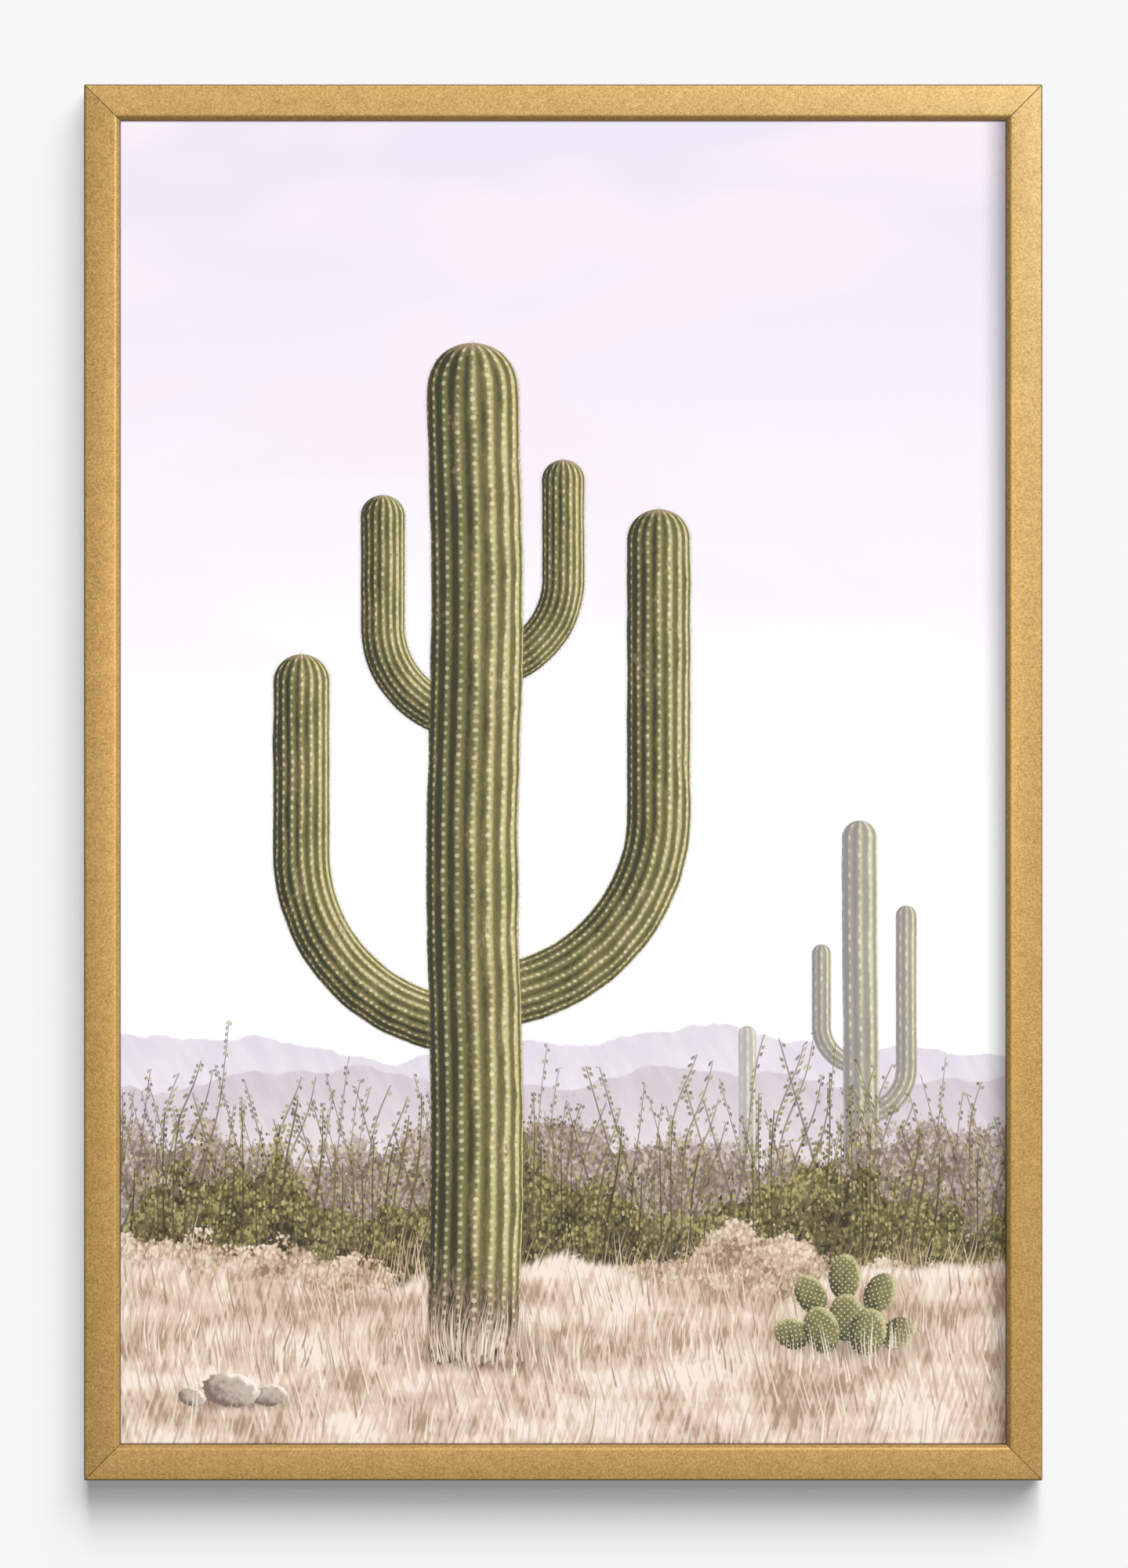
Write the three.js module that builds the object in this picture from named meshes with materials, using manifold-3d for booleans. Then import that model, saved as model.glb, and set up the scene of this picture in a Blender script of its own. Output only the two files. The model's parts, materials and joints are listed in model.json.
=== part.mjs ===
// A framed print: four mitred gold rails hold a pane of glass, a paper print and a backing board.
// Eight turn latches riveted to the board reach into a groove of the rails and keep the board in.
// Two D rings on folded straps hang from the board, inside the recess at the back.
// Millimetres, +Z up. The front faces -Y and the wall is the plane y = 0. The origin is the
// middle of the flat back face of the top rail.
import * as THREE from 'three';
import { mergeVertices } from 'three/addons/utils/BufferGeometryUtils.js';
import Module from 'manifold-3d';

const wasm = await Module();
wasm.setup();

// Driving dimensions of the frame, seen from the front
const sightWidth = 500;
const sightHeight = 747;
const railWidth = 20.5;
const outerWidth = sightWidth + 2 * railWidth;
const outerHeight = sightHeight + 2 * railWidth;

// Rail section: how far a face lies from the wall, or in from the outer edge
const railDepth = 22;
const rebateWidth = 6;
const rebateDepth = 18;
const sightEdgeDepth = 19.75;
const lipWidth = 2.5;
const lipRadius = 0.75;
const arrisRadius = 1.25;
const backWidth = railWidth - rebateWidth;
const lipDrop = railDepth - sightEdgeDepth;
const lipEdge = railWidth - lipWidth;
const mitreGap = 0.15;

// Groove in the rebate wall that takes the latch tips
const grooveLow = 10.75;
const grooveHigh = 13.25;
const grooveDepth = 4.5;

// What the rebate holds, from the front to the back
const glassThickness = 2;
const printThickness = 0.25;
const boardThickness = 3;
const glassClearance = 1.5;
const printOverlap = 4;
const boardClearance = 1.5;
const glassFront = rebateDepth;
const printFront = glassFront - glassThickness;
const boardFront = printFront - printThickness;
const boardBack = boardFront - boardThickness;

// Steel hardware
const sheetThickness = 1;
const runningGap = 0.3;
const pivotInset = 17.5;
const latchReach = 22;
const latchWidth = 11;
const latchTail = 8;
const tabBendRadius = 2;
const tabHeight = 4;
const shankRadius = 1.5;
const shankGap = 0.3;
const shankHoleDepth = 2;
const headRadius = 3.5;
const headHeight = 1.5;
const latchSpreadAcross = 130;
const latchSpreadUp = 215;

// Hanging straps and rings
const hangerSpread = 165;
const hangerDrop = 120;
const strapWidth = 10;
const strapLength = 12;
const strapSheet = 0.8;
const eyeInner = 1.45;
const eyeOuter = eyeInner + strapSheet;
const strapRivetDrop = 7.5;
const wireDiameter = 2;
const ringHalfWidth = 9;
const ringStraight = 14;
const ringCornerRadius = 3;

// Corner nails: bent strips driven across each mitre from the back
const nailInset = 4.5;
const nailLeg = 9;
const nailThickness = 0.8;
const nailDepth = 7;
const nailSink = 0.25;
const nailGap = 0.2;

// How far a cutting shape runs past the face it opens
const cutOverrun = 1;

// Fineness of round stretches
const arcSteps = 6;
const roundSteps = 16;

// Places in the frame's own axes, taken from the origin on the top rail
const centreZ = backWidth / 2 - outerHeight / 2;

const finishes = {
  gold: new THREE.MeshStandardMaterial({ color: 0xc8a063, roughness: 0.42, metalness: 0.65 }),
  glass: new THREE.MeshStandardMaterial({ color: 0xf4f8f6, roughness: 0.05, metalness: 0 }),
  paper: new THREE.MeshStandardMaterial({ color: 0xf1ebee, roughness: 0.9, metalness: 0 }),
  board: new THREE.MeshStandardMaterial({ color: 0x9a7a57, roughness: 0.85, metalness: 0 }),
  steel: new THREE.MeshStandardMaterial({ color: 0xb9bcbf, roughness: 0.35, metalness: 1 }),
};

function toSolid(geometry) {
  const plain = geometry.clone();
  plain.deleteAttribute('normal');
  plain.deleteAttribute('uv');
  const merged = mergeVertices(plain, 1e-4);
  const vertProperties = new Float32Array(merged.attributes.position.array);
  const triVerts = new Uint32Array(merged.index.array);
  return new wasm.Manifold(new wasm.Mesh({ numProp: 3, vertProperties, triVerts }));
}

function toGeometry(solid) {
  const { vertProperties, triVerts } = solid.getMesh();
  const geometry = new THREE.BufferGeometry();
  geometry.setAttribute('position', new THREE.BufferAttribute(new Float32Array(vertProperties), 3));
  geometry.setIndex(new THREE.BufferAttribute(new Uint32Array(triVerts), 1));
  geometry.computeVertexNormals();
  return geometry;
}

function namedMesh(name, geometry, finish) {
  const mesh = new THREE.Mesh(geometry, finish);
  mesh.name = name;
  return mesh;
}

// Extrudes an outline drawn in (across, up) through the depth from y = 0 to y = -depth.
function facingPlate(outline, depth) {
  const geometry = new THREE.ExtrudeGeometry(outline, {
    depth, bevelEnabled: false, curveSegments: roundSteps,
  });
  return geometry.rotateX(Math.PI / 2);
}

// Extrudes a side profile drawn in (up, out from the wall side) through a width centred on x = 0.
function sideProfile(outline, width) {
  const geometry = new THREE.ExtrudeGeometry(outline, {
    depth: width, bevelEnabled: false, curveSegments: roundSteps,
  });
  return geometry.translate(0, 0, -width / 2).rotateY(-Math.PI / 2);
}

// A post along Y between two depths, used to cut round holes.
function holeCutter(radius, nearY, farY) {
  const length = farY - nearY;
  const geometry = new THREE.CylinderGeometry(radius, radius, length, roundSteps);
  return geometry.translate(0, nearY + length / 2, 0);
}

// Rail section: x is the distance in from the outer edge, y the distance out from the wall.
function railSection() {
  const section = new THREE.Shape();
  section.moveTo(0, 0);
  section.lineTo(backWidth, 0);
  section.lineTo(backWidth, grooveLow);
  section.lineTo(backWidth - grooveDepth, grooveLow);
  section.lineTo(backWidth - grooveDepth, grooveHigh);
  section.lineTo(backWidth, grooveHigh);
  section.lineTo(backWidth, rebateDepth);
  section.lineTo(railWidth, rebateDepth);
  section.lineTo(railWidth, sightEdgeDepth);
  const share = lipRadius / Math.hypot(lipWidth, lipDrop);
  section.lineTo(lipEdge + share * lipWidth, railDepth - share * lipDrop);
  section.quadraticCurveTo(lipEdge, railDepth, lipEdge - lipRadius, railDepth);
  section.lineTo(arrisRadius, railDepth);
  section.absarc(arrisRadius, railDepth - arrisRadius, arrisRadius, Math.PI / 2, Math.PI, false);
  section.lineTo(0, 0);
  return section;
}

// A rail along X with its outer edge at z = 0, each end cut back by the distance in from that edge.
function mitredRail(length) {
  const geometry = new THREE.ExtrudeGeometry(railSection(), {
    depth: length, bevelEnabled: false, curveSegments: arcSteps,
  });
  const place = geometry.attributes.position;
  for (let i = 0; i < place.count; i += 1) {
    const inward = place.getX(i);
    const out = place.getY(i);
    const side = place.getZ(i) > length / 2 ? 1 : -1;
    const along = length / 2 - mitreGap - inward;
    place.setXYZ(i, -side * along, -out, -inward);
  }
  return toSolid(geometry);
}

// The outline of the bent strip in the top right corner, grown on all sides by a clearance.
function nailOutline(clearance) {
  const outer = nailInset - clearance;
  const inner = nailInset + nailThickness + clearance;
  const reach = nailInset + nailLeg + clearance;
  const strip = new THREE.Shape();
  strip.moveTo(-outer, -outer);
  strip.lineTo(-reach, -outer);
  strip.lineTo(-reach, -inner);
  strip.lineTo(-inner, -inner);
  strip.lineTo(-inner, -reach);
  strip.lineTo(-outer, -reach);
  strip.closePath();
  return strip;
}

function cornerNail() {
  return facingPlate(nailOutline(0), nailDepth).translate(0, -nailSink, 0);
}

// The slot that a corner nail sits in, open at the back face.
function nailSlot() {
  const depth = cutOverrun + nailSink + nailDepth + nailGap;
  return facingPlate(nailOutline(nailGap), depth).translate(0, cutOverrun, 0);
}

// The four corners of the frame: their places, and which way the nail is turned there.
const corners = [
  { name: 'top_right', x: 1, z: 1, turn: 0 },
  { name: 'bottom_right', x: 1, z: -1, turn: 1 },
  { name: 'bottom_left', x: -1, z: -1, turn: 2 },
  { name: 'top_left', x: -1, z: 1, turn: 3 },
];

// The four sides: the way their outer edge faces, how far it lies from the centre, their length.
const sides = [
  { name: 'top', turn: 0, out: outerHeight / 2, length: outerWidth },
  { name: 'right', turn: 1, out: outerWidth / 2, length: outerHeight },
  { name: 'bottom', turn: 2, out: outerHeight / 2, length: outerWidth },
  { name: 'left', turn: 3, out: outerWidth / 2, length: outerHeight },
];

// Turns geometry about Y in quarter turns that carry the top side to the right, bottom and left.
function quarterTurn(geometry, turn) {
  return geometry.rotateY((turn * Math.PI) / 2);
}

function cornerPlace(corner) {
  return new THREE.Vector3((corner.x * outerWidth) / 2, 0, centreZ + (corner.z * outerHeight) / 2);
}

function buildRails() {
  const rails = new THREE.Group();
  for (const side of sides) {
    const rail = quarterTurn(toGeometry(mitredRail(side.length)).translate(0, 0, side.out), side.turn);
    rail.translate(0, 0, centreZ);
    let solid = toSolid(rail);
    for (const corner of corners) {
      const place = cornerPlace(corner);
      const cutter = quarterTurn(nailSlot(), corner.turn).translate(place.x, 0, place.z);
      solid = solid.subtract(toSolid(cutter));
    }
    rails.add(namedMesh(`rail_${side.name}`, toGeometry(solid), finishes.gold));
  }
  return rails;
}

function buildCornerNails() {
  const nails = new THREE.Group();
  for (const corner of corners) {
    const nail = namedMesh(`corner_nail_${corner.name}`, cornerNail(), finishes.steel);
    nail.rotation.y = (corner.turn * Math.PI) / 2;
    nail.position.copy(cornerPlace(corner));
    nails.add(nail);
  }
  return nails;
}

function buildGlazing() {
  const width = outerWidth - 2 * backWidth - 2 * glassClearance;
  const height = outerHeight - 2 * backWidth - 2 * glassClearance;
  const pane = new THREE.BoxGeometry(width, glassThickness, height);
  const glazing = namedMesh('glazing', pane, finishes.glass);
  glazing.position.set(0, -glassFront + glassThickness / 2, centreZ);
  return glazing;
}

function buildPrint() {
  const width = sightWidth + 2 * printOverlap;
  const height = sightHeight + 2 * printOverlap;
  const sheet = new THREE.BoxGeometry(width, printThickness, height);
  const print = namedMesh('print_sheet', sheet, finishes.paper);
  print.position.set(0, -printFront + printThickness / 2, centreZ);
  return print;
}

// Where each latch turns: its side, and how far along that side it sits.
function latchPlaces() {
  const places = [];
  for (const side of sides) {
    const upright = side.turn % 2 === 1;
    const spread = upright ? latchSpreadUp : latchSpreadAcross;
    const ends = upright ? ['upper', 'lower'] : ['left', 'right'];
    ends.forEach((end, index) => {
      const out = side.out - backWidth - boardClearance - pivotInset;
      const along = index === 0 ? -spread : spread;
      const angle = (side.turn * Math.PI) / 2;
      const outward = new THREE.Vector3(Math.sin(angle), 0, Math.cos(angle));
      const sideways = upright ? new THREE.Vector3(0, 0, -1) : new THREE.Vector3(1, 0, 0);
      const pivot = new THREE.Vector3(0, 0, centreZ);
      pivot.addScaledVector(outward, out).addScaledVector(sideways, along);
      places.push({ name: `${side.name}_${end}`, turn: side.turn, pivot });
    });
  }
  return places;
}

function hangerPlaces() {
  return [
    { name: 'left', x: -hangerSpread },
    { name: 'right', x: hangerSpread },
  ].map(({ name, x }) => ({ name, x, z: -hangerDrop }));
}

// The board carries a blind hole for the shank of every rivet.
function buildBoard() {
  const width = outerWidth - 2 * backWidth - 2 * boardClearance;
  const height = outerHeight - 2 * backWidth - 2 * boardClearance;
  const blank = new THREE.BoxGeometry(width, boardThickness, height);
  blank.translate(0, -boardFront + boardThickness / 2, centreZ);
  let solid = toSolid(blank);
  const floor = -boardBack - shankHoleDepth;
  const holes = latchPlaces().map(({ pivot }) => [pivot.x, pivot.z]);
  hangerPlaces().forEach(({ x, z }) => holes.push([x, z - strapRivetDrop]));
  for (const [x, z] of holes) {
    const cutter = holeCutter(shankRadius + shankGap, floor, 0).translate(x, 0, z);
    solid = solid.subtract(toSolid(cutter));
  }
  return namedMesh('backing_board', toGeometry(solid), finishes.board);
}

// A turn latch about its pivot, tip towards +Z: flat sheet with a finger tab curled off the board.
function latchBlade() {
  const profile = new THREE.Shape();
  const outerBend = tabBendRadius + sheetThickness / 2;
  const innerBend = tabBendRadius - sheetThickness / 2;
  profile.moveTo(latchReach, -sheetThickness);
  profile.lineTo(latchReach, 0);
  profile.lineTo(-latchTail, 0);
  profile.absarc(-latchTail, innerBend, innerBend, -Math.PI / 2, -Math.PI, true);
  profile.lineTo(-latchTail - innerBend, tabHeight);
  profile.lineTo(-latchTail - outerBend, tabHeight);
  profile.lineTo(-latchTail - outerBend, innerBend);
  profile.absarc(-latchTail, innerBend, outerBend, -Math.PI, -Math.PI / 2, false);
  profile.closePath();

  const half = latchWidth / 2;
  const tail = -latchTail - outerBend - cutOverrun;
  const plan = new THREE.Shape();
  plan.moveTo(-half, tail);
  plan.lineTo(half, tail);
  plan.lineTo(half, latchReach - half);
  plan.absarc(0, latchReach - half, half, 0, Math.PI, false);
  plan.closePath();

  const top = tabHeight + cutOverrun;
  const height = top + sheetThickness + cutOverrun;
  const folded = toSolid(sideProfile(profile, latchWidth + 2 * cutOverrun));
  const trimmed = folded.intersect(toSolid(facingPlate(plan, height).translate(0, top, 0)));
  const hole = holeCutter(shankRadius + shankGap, -sheetThickness - cutOverrun, cutOverrun);
  return toGeometry(trimmed.subtract(toSolid(hole)));
}

// A domed rivet along Y with its head underside at y = 0 and its shank reaching a given length.
function rivet(shankLength) {
  const profile = [new THREE.Vector2(0, -shankLength), new THREE.Vector2(shankRadius, -shankLength)];
  profile.push(new THREE.Vector2(shankRadius, 0), new THREE.Vector2(headRadius, 0));
  const rim = headHeight / 3;
  for (let i = 0; i < arcSteps; i += 1) {
    const angle = (i / arcSteps) * (Math.PI / 2);
    const rise = rim + (headHeight - rim) * Math.sin(angle);
    profile.push(new THREE.Vector2(headRadius * Math.cos(angle), rise));
  }
  profile.push(new THREE.Vector2(0, headHeight));
  return toGeometry(toSolid(new THREE.LatheGeometry(profile, roundSteps)));
}

function buildLatches() {
  const group = new THREE.Group();
  const bladeBack = -boardBack + runningGap + sheetThickness;
  const headSeat = bladeBack + runningGap;
  const shankLength = headSeat + boardBack + shankHoleDepth;
  for (const { name, turn, pivot } of latchPlaces()) {
    const latch = namedMesh(`turn_latch_${name}`, latchBlade(), finishes.steel);
    latch.position.set(pivot.x, bladeBack, pivot.z);
    latch.rotation.y = (turn * Math.PI) / 2;
    const pin = namedMesh(`latch_rivet_${name}`, rivet(shankLength), finishes.steel);
    pin.position.set(pivot.x, headSeat, pivot.z);
    group.add(latch, pin);
  }
  return group;
}

// The strap folded round the ring's bar, its eye centred on y = 0, z = 0 and the bar along X.
function hangerStrap() {
  const seat = -eyeOuter;
  const faceOut = seat + 2 * strapSheet;
  const meet = Math.atan2(faceOut, -Math.sqrt(eyeOuter ** 2 - faceOut ** 2));
  const profile = new THREE.Shape();
  profile.moveTo(-strapLength, seat);
  profile.lineTo(0, seat);
  profile.absarc(0, 0, eyeOuter, -Math.PI / 2, meet + 2 * Math.PI, false);
  profile.lineTo(-strapLength, faceOut);
  profile.closePath();
  const eye = new THREE.Path();
  eye.absarc(0, 0, eyeInner, 0, 2 * Math.PI, true);
  profile.holes.push(eye);
  const hole = holeCutter(shankRadius + shankGap, seat - cutOverrun, faceOut + cutOverrun);
  const strap = toSolid(sideProfile(profile, strapWidth));
  return toGeometry(strap.subtract(toSolid(hole.translate(0, 0, -strapRivetDrop))));
}

// A D ring hanging from its straight bar, with the bar's centre line on y = 0, z = 0.
function hangerRing() {
  const wire = wireDiameter / 2;
  const outline = (half, corner, top) => {
    const path = new THREE.Path();
    path.moveTo(-half, top - corner);
    path.lineTo(-half, -ringStraight);
    path.absarc(0, -ringStraight, half, Math.PI, 2 * Math.PI, false);
    path.lineTo(half, top - corner);
    path.absarc(half - corner, top - corner, corner, 0, Math.PI / 2, false);
    path.lineTo(-half + corner, top);
    path.absarc(-half + corner, top - corner, corner, Math.PI / 2, Math.PI, false);
    return path;
  };
  const bevel = 0.6 * wire;
  const outer = outline(ringHalfWidth + wire, ringCornerRadius + wire, wire);
  const ring = new THREE.Shape(outer.getPoints(arcSteps));
  ring.holes.push(outline(ringHalfWidth - wire, ringCornerRadius - wire, -wire));
  const geometry = new THREE.ExtrudeGeometry(ring, {
    depth: wireDiameter - 2 * bevel,
    bevelEnabled: true,
    bevelThickness: bevel,
    bevelSize: bevel,
    bevelOffset: -bevel,
    bevelSegments: 2,
    curveSegments: arcSteps,
  });
  geometry.translate(0, 0, bevel - wire);
  return toGeometry(toSolid(geometry.rotateX(Math.PI / 2)));
}

function buildHangers() {
  const group = new THREE.Group();
  const eyeY = -boardBack + eyeOuter;
  const headSeat = -boardBack + 2 * strapSheet;
  const shankLength = 2 * strapSheet + shankHoleDepth;
  for (const { name, x, z } of hangerPlaces()) {
    const strap = namedMesh(`hanger_strap_${name}`, hangerStrap(), finishes.steel);
    strap.position.set(x, eyeY, z);
    const ring = namedMesh(`hanger_ring_${name}`, hangerRing(), finishes.steel);
    ring.position.set(x, eyeY, z);
    const pin = namedMesh(`hanger_rivet_${name}`, rivet(shankLength), finishes.steel);
    pin.position.set(x, headSeat, z - strapRivetDrop);
    group.add(strap, ring, pin);
  }
  return group;
}

const group = new THREE.Group();
group.add(buildRails(), buildCornerNails());
group.add(buildGlazing(), buildPrint(), buildBoard());
group.add(buildLatches(), buildHangers());

export default group;
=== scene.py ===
"""A tall print in a slim gold frame that hangs flat on a pale wall.

Four mitred rails hold a pane of glass, a printed sheet and a backing board. Turn latches on the
board reach into a groove of the rails, and two D rings hang the frame. The front faces -Y, the wall
is the plane y = 0, and the origin is the middle of the top rail's back face. Sizes are in metres.
"""

import json
import logging
import math
from collections.abc import Callable, Iterable
from dataclasses import dataclass, field
from enum import Enum
from typing import ClassVar

import bmesh
import bpy
from mathutils import Matrix, Vector


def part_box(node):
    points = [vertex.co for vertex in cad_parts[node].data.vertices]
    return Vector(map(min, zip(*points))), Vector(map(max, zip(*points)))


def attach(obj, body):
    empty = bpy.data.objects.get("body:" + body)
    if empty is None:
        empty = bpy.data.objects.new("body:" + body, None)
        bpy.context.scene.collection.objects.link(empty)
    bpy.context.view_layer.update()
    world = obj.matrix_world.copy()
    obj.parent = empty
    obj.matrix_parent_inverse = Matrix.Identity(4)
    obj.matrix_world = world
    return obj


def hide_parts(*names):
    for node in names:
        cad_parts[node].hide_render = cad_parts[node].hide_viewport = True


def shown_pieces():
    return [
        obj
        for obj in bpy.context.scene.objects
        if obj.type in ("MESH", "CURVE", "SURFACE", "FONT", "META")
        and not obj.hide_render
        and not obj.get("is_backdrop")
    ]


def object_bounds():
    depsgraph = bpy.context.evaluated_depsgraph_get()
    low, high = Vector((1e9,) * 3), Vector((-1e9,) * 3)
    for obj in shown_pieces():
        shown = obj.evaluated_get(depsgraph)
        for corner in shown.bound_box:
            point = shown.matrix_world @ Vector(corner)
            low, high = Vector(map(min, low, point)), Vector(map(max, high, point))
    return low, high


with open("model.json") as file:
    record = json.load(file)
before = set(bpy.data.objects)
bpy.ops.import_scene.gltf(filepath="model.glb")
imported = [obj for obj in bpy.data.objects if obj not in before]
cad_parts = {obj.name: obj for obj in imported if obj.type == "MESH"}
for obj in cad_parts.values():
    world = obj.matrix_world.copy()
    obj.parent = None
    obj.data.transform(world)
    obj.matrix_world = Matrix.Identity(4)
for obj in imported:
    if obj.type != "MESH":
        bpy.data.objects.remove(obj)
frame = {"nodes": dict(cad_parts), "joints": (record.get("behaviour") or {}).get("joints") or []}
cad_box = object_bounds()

log = logging.getLogger("framed_print")

MM = 0.001
WELD = 0.002 * MM
NEAR = 0.01 * MM
ALONG = 0.9
QUARTER = math.pi / 2
WHITE = (1.0, 1.0, 1.0, 1.0)
BLACK = (0.0, 0.0, 0.0, 1.0)

Pair = tuple[float, float]
Triple = tuple[float, float, float]
Colour = tuple[float, float, float, float]
Test = Callable[[Vector, Vector], bool]


def ink(red: int, green: int, blue: int) -> Colour:
    """Turn a colour as seen, 0 to 255 a channel, into the linear values that shaders take.

    Args:
        red: The red channel.
        green: The green channel.
        blue: The blue channel.

    Returns:
        The linear colour, with full alpha.
    """
    seen = (red / 255, green / 255, blue / 255)
    linear = [share / 12.92 if share <= 0.04045 else ((share + 0.055) / 1.055) ** 2.4 for share in seen]
    return (*linear, 1.0)


class Pick(Enum):
    """What a selection in edit mode is made of."""

    CORNERS = "verts"
    EDGES = "edges"
    FACES = "faces"


class Side(Enum):
    """A side of the frame, by the quarter turns that carry the top side to it."""

    TOP = 0
    RIGHT = 1
    BOTTOM = 2
    LEFT = 3

    @property
    def label(self) -> str:
        """The side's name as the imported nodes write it."""
        return self.name.lower()

    @property
    def upright(self) -> bool:
        """Whether the side runs up and down."""
        return self.value % 2 == 1

    @property
    def turn(self) -> Matrix:
        """The rotation about Y that carries the top side to this one."""
        return Matrix.Rotation(self.value * QUARTER, 4, "Y")


def clear_bench() -> None:
    """Leave edit mode and select nothing, so that the next primitive starts a new piece."""
    if bpy.context.object and bpy.context.object.mode == "EDIT":
        bpy.ops.object.mode_set(mode="OBJECT")
    bpy.ops.object.select_all(action="DESELECT")


class Workpiece:
    """One mesh on the bench, shaped in edit mode by Blender's own operators."""

    def __init__(self, name: str) -> None:
        """Take up the primitive that was added last.

        Args:
            name: The piece's name.
        """
        self.body = bpy.context.object
        self.body.name = name
        self.body.data.name = name
        bpy.ops.object.mode_set(mode="EDIT")

    @classmethod
    def plate(cls, name: str, low: Vector, high: Vector) -> "Workpiece":
        """Start from a block between two corners.

        Args:
            name: The piece's name.
            low: The block's lowest corner.
            high: The block's highest corner.

        Returns:
            The piece in edit mode, with nothing selected.
        """
        clear_bench()
        bpy.ops.mesh.primitive_cube_add(size=1)
        piece = cls(name)
        bpy.ops.mesh.select_all(action="SELECT")
        bpy.ops.transform.resize(value=high - low)
        bpy.ops.transform.translate(value=(low + high) / 2)
        bpy.ops.mesh.select_all(action="DESELECT")
        return piece

    @classmethod
    def outline(cls, name: str, points: list[Vector], fill: bool = True) -> "Workpiece":
        """Draw an outline by extruding one corner from point to point.

        Args:
            name: The piece's name.
            points: The outline's corners, in order.
            fill: Whether the outline is closed into a face.

        Returns:
            The piece in edit mode, all selected.
        """
        clear_bench()
        bpy.ops.mesh.primitive_plane_add(size=MM)
        piece = cls(name)
        bpy.context.tool_settings.mesh_select_mode = (True, False, False)
        bpy.ops.mesh.select_all(action="SELECT")
        bpy.ops.mesh.merge(type="CENTER")
        bpy.ops.transform.translate(value=points[0])
        for here, there in zip(points, points[1:]):
            bpy.ops.mesh.extrude_region_move(TRANSFORM_OT_translate={"value": there - here})
        bpy.ops.mesh.select_all(action="SELECT")
        if fill:
            bpy.ops.mesh.edge_face_add()
        return piece

    def pick(self, kind: Pick, test: Test) -> None:
        """Select what passes a test, and nothing else.

        Args:
            kind: Whether corners, edges or faces are tested.
            test: Told an item's middle and its direction, says whether to select it.
        """
        bpy.context.tool_settings.mesh_select_mode = tuple(kind is each for each in Pick)
        bpy.ops.mesh.select_all(action="DESELECT")
        mesh = bmesh.from_edit_mesh(self.body.data)
        mesh.normal_update()
        for item in getattr(mesh, kind.value):
            if kind is Pick.CORNERS:
                middle, way = item.co, item.normal
            elif kind is Pick.EDGES:
                middle = (item.verts[0].co + item.verts[1].co) / 2
                way = (item.verts[1].co - item.verts[0].co).normalized()
            else:
                middle, way = item.calc_center_median(), item.normal
            if test(middle, way):
                item.select_set(True)
        mesh.select_flush_mode()
        bmesh.update_edit_mesh(self.body.data)

    def push(self, step: Vector) -> None:
        """Extrude what is selected by a step."""
        bpy.ops.mesh.extrude_region_move(TRANSFORM_OT_translate={"value": step})

    def swing(self, centre: Vector, axis: Vector, angle: float, steps: int) -> None:
        """Spin what is selected round an axis.

        Args:
            centre: A point on the axis.
            axis: The axis direction.
            angle: How far to spin, in radians, counter-clockwise with the axis towards the eye.
            steps: How many steps the spin has.
        """
        bpy.ops.mesh.spin(steps=steps, angle=-angle, center=centre, axis=axis)

    def round_off(self, offset: float, segments: int, corners: bool = False) -> None:
        """Bevel what is selected.

        Args:
            offset: How far the bevel reaches from the edge.
            segments: How many faces it has.
            corners: Whether corners of a flat outline are rounded, and not edges.
        """
        affect = "VERTICES" if corners else "EDGES"
        bpy.ops.mesh.bevel(offset=offset, segments=segments, profile=0.5, affect=affect)

    def slice(self, place: Vector, normal: Vector, drop: bool = False) -> None:
        """Cut the whole piece by a plane.

        Args:
            place: A point on the plane.
            normal: The plane's normal.
            drop: Whether what lies past the plane goes, and the cut is closed.
        """
        bpy.ops.mesh.select_all(action="SELECT")
        bpy.ops.mesh.bisect(plane_co=place, plane_no=normal, use_fill=drop, clear_outer=drop)

    def close_up(self) -> None:
        """Merge doubled corners and turn every face outwards."""
        bpy.ops.mesh.select_all(action="SELECT")
        bpy.ops.mesh.remove_doubles(threshold=WELD)
        bpy.ops.mesh.normals_make_consistent(inside=False)

    def modify(self, kind: str, **settings: object) -> None:
        """Add a modifier with its settings, and apply it.

        Args:
            kind: The modifier's type.
            **settings: Its settings by name.
        """
        if self.body.mode == "EDIT":
            bpy.ops.object.mode_set(mode="OBJECT")
        bpy.context.view_layer.objects.active = self.body
        modifier = self.body.modifiers.new(kind, kind)
        for name, value in settings.items():
            setattr(modifier, name, value)
        bpy.ops.object.modifier_apply(modifier=modifier.name)

    def soften(self, width: float, segments: int = 2, angle: float = 35) -> None:
        """Round every edge that is sharper than an angle.

        Args:
            width: How far the rounding reaches from an edge.
            segments: How many faces it has.
            angle: The least angle in degrees.
        """
        self.modify(
            "BEVEL", width=width, segments=segments, limit_method="ANGLE",
            angle_limit=math.radians(angle), harden_normals=False,
        )

    def carve(self, cutter: bpy.types.Object) -> None:
        """Subtract another object from this one and remove it.

        Args:
            cutter: The closed shape to take away.
        """
        self.modify("BOOLEAN", operation="DIFFERENCE", solver="EXACT", object=cutter)
        bpy.data.objects.remove(cutter)

    def finish(self, smooth: float = 32) -> bpy.types.Object:
        """Leave edit mode with smooth shading over gentle edges.

        Args:
            smooth: The sharpest angle, in degrees, that is still shaded smooth.

        Returns:
            The finished object.
        """
        clear_bench()
        self.body.select_set(True)
        bpy.context.view_layer.objects.active = self.body
        bpy.ops.object.shade_smooth_by_angle(angle=math.radians(smooth))
        self.body.select_set(False)
        return self.body


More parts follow.
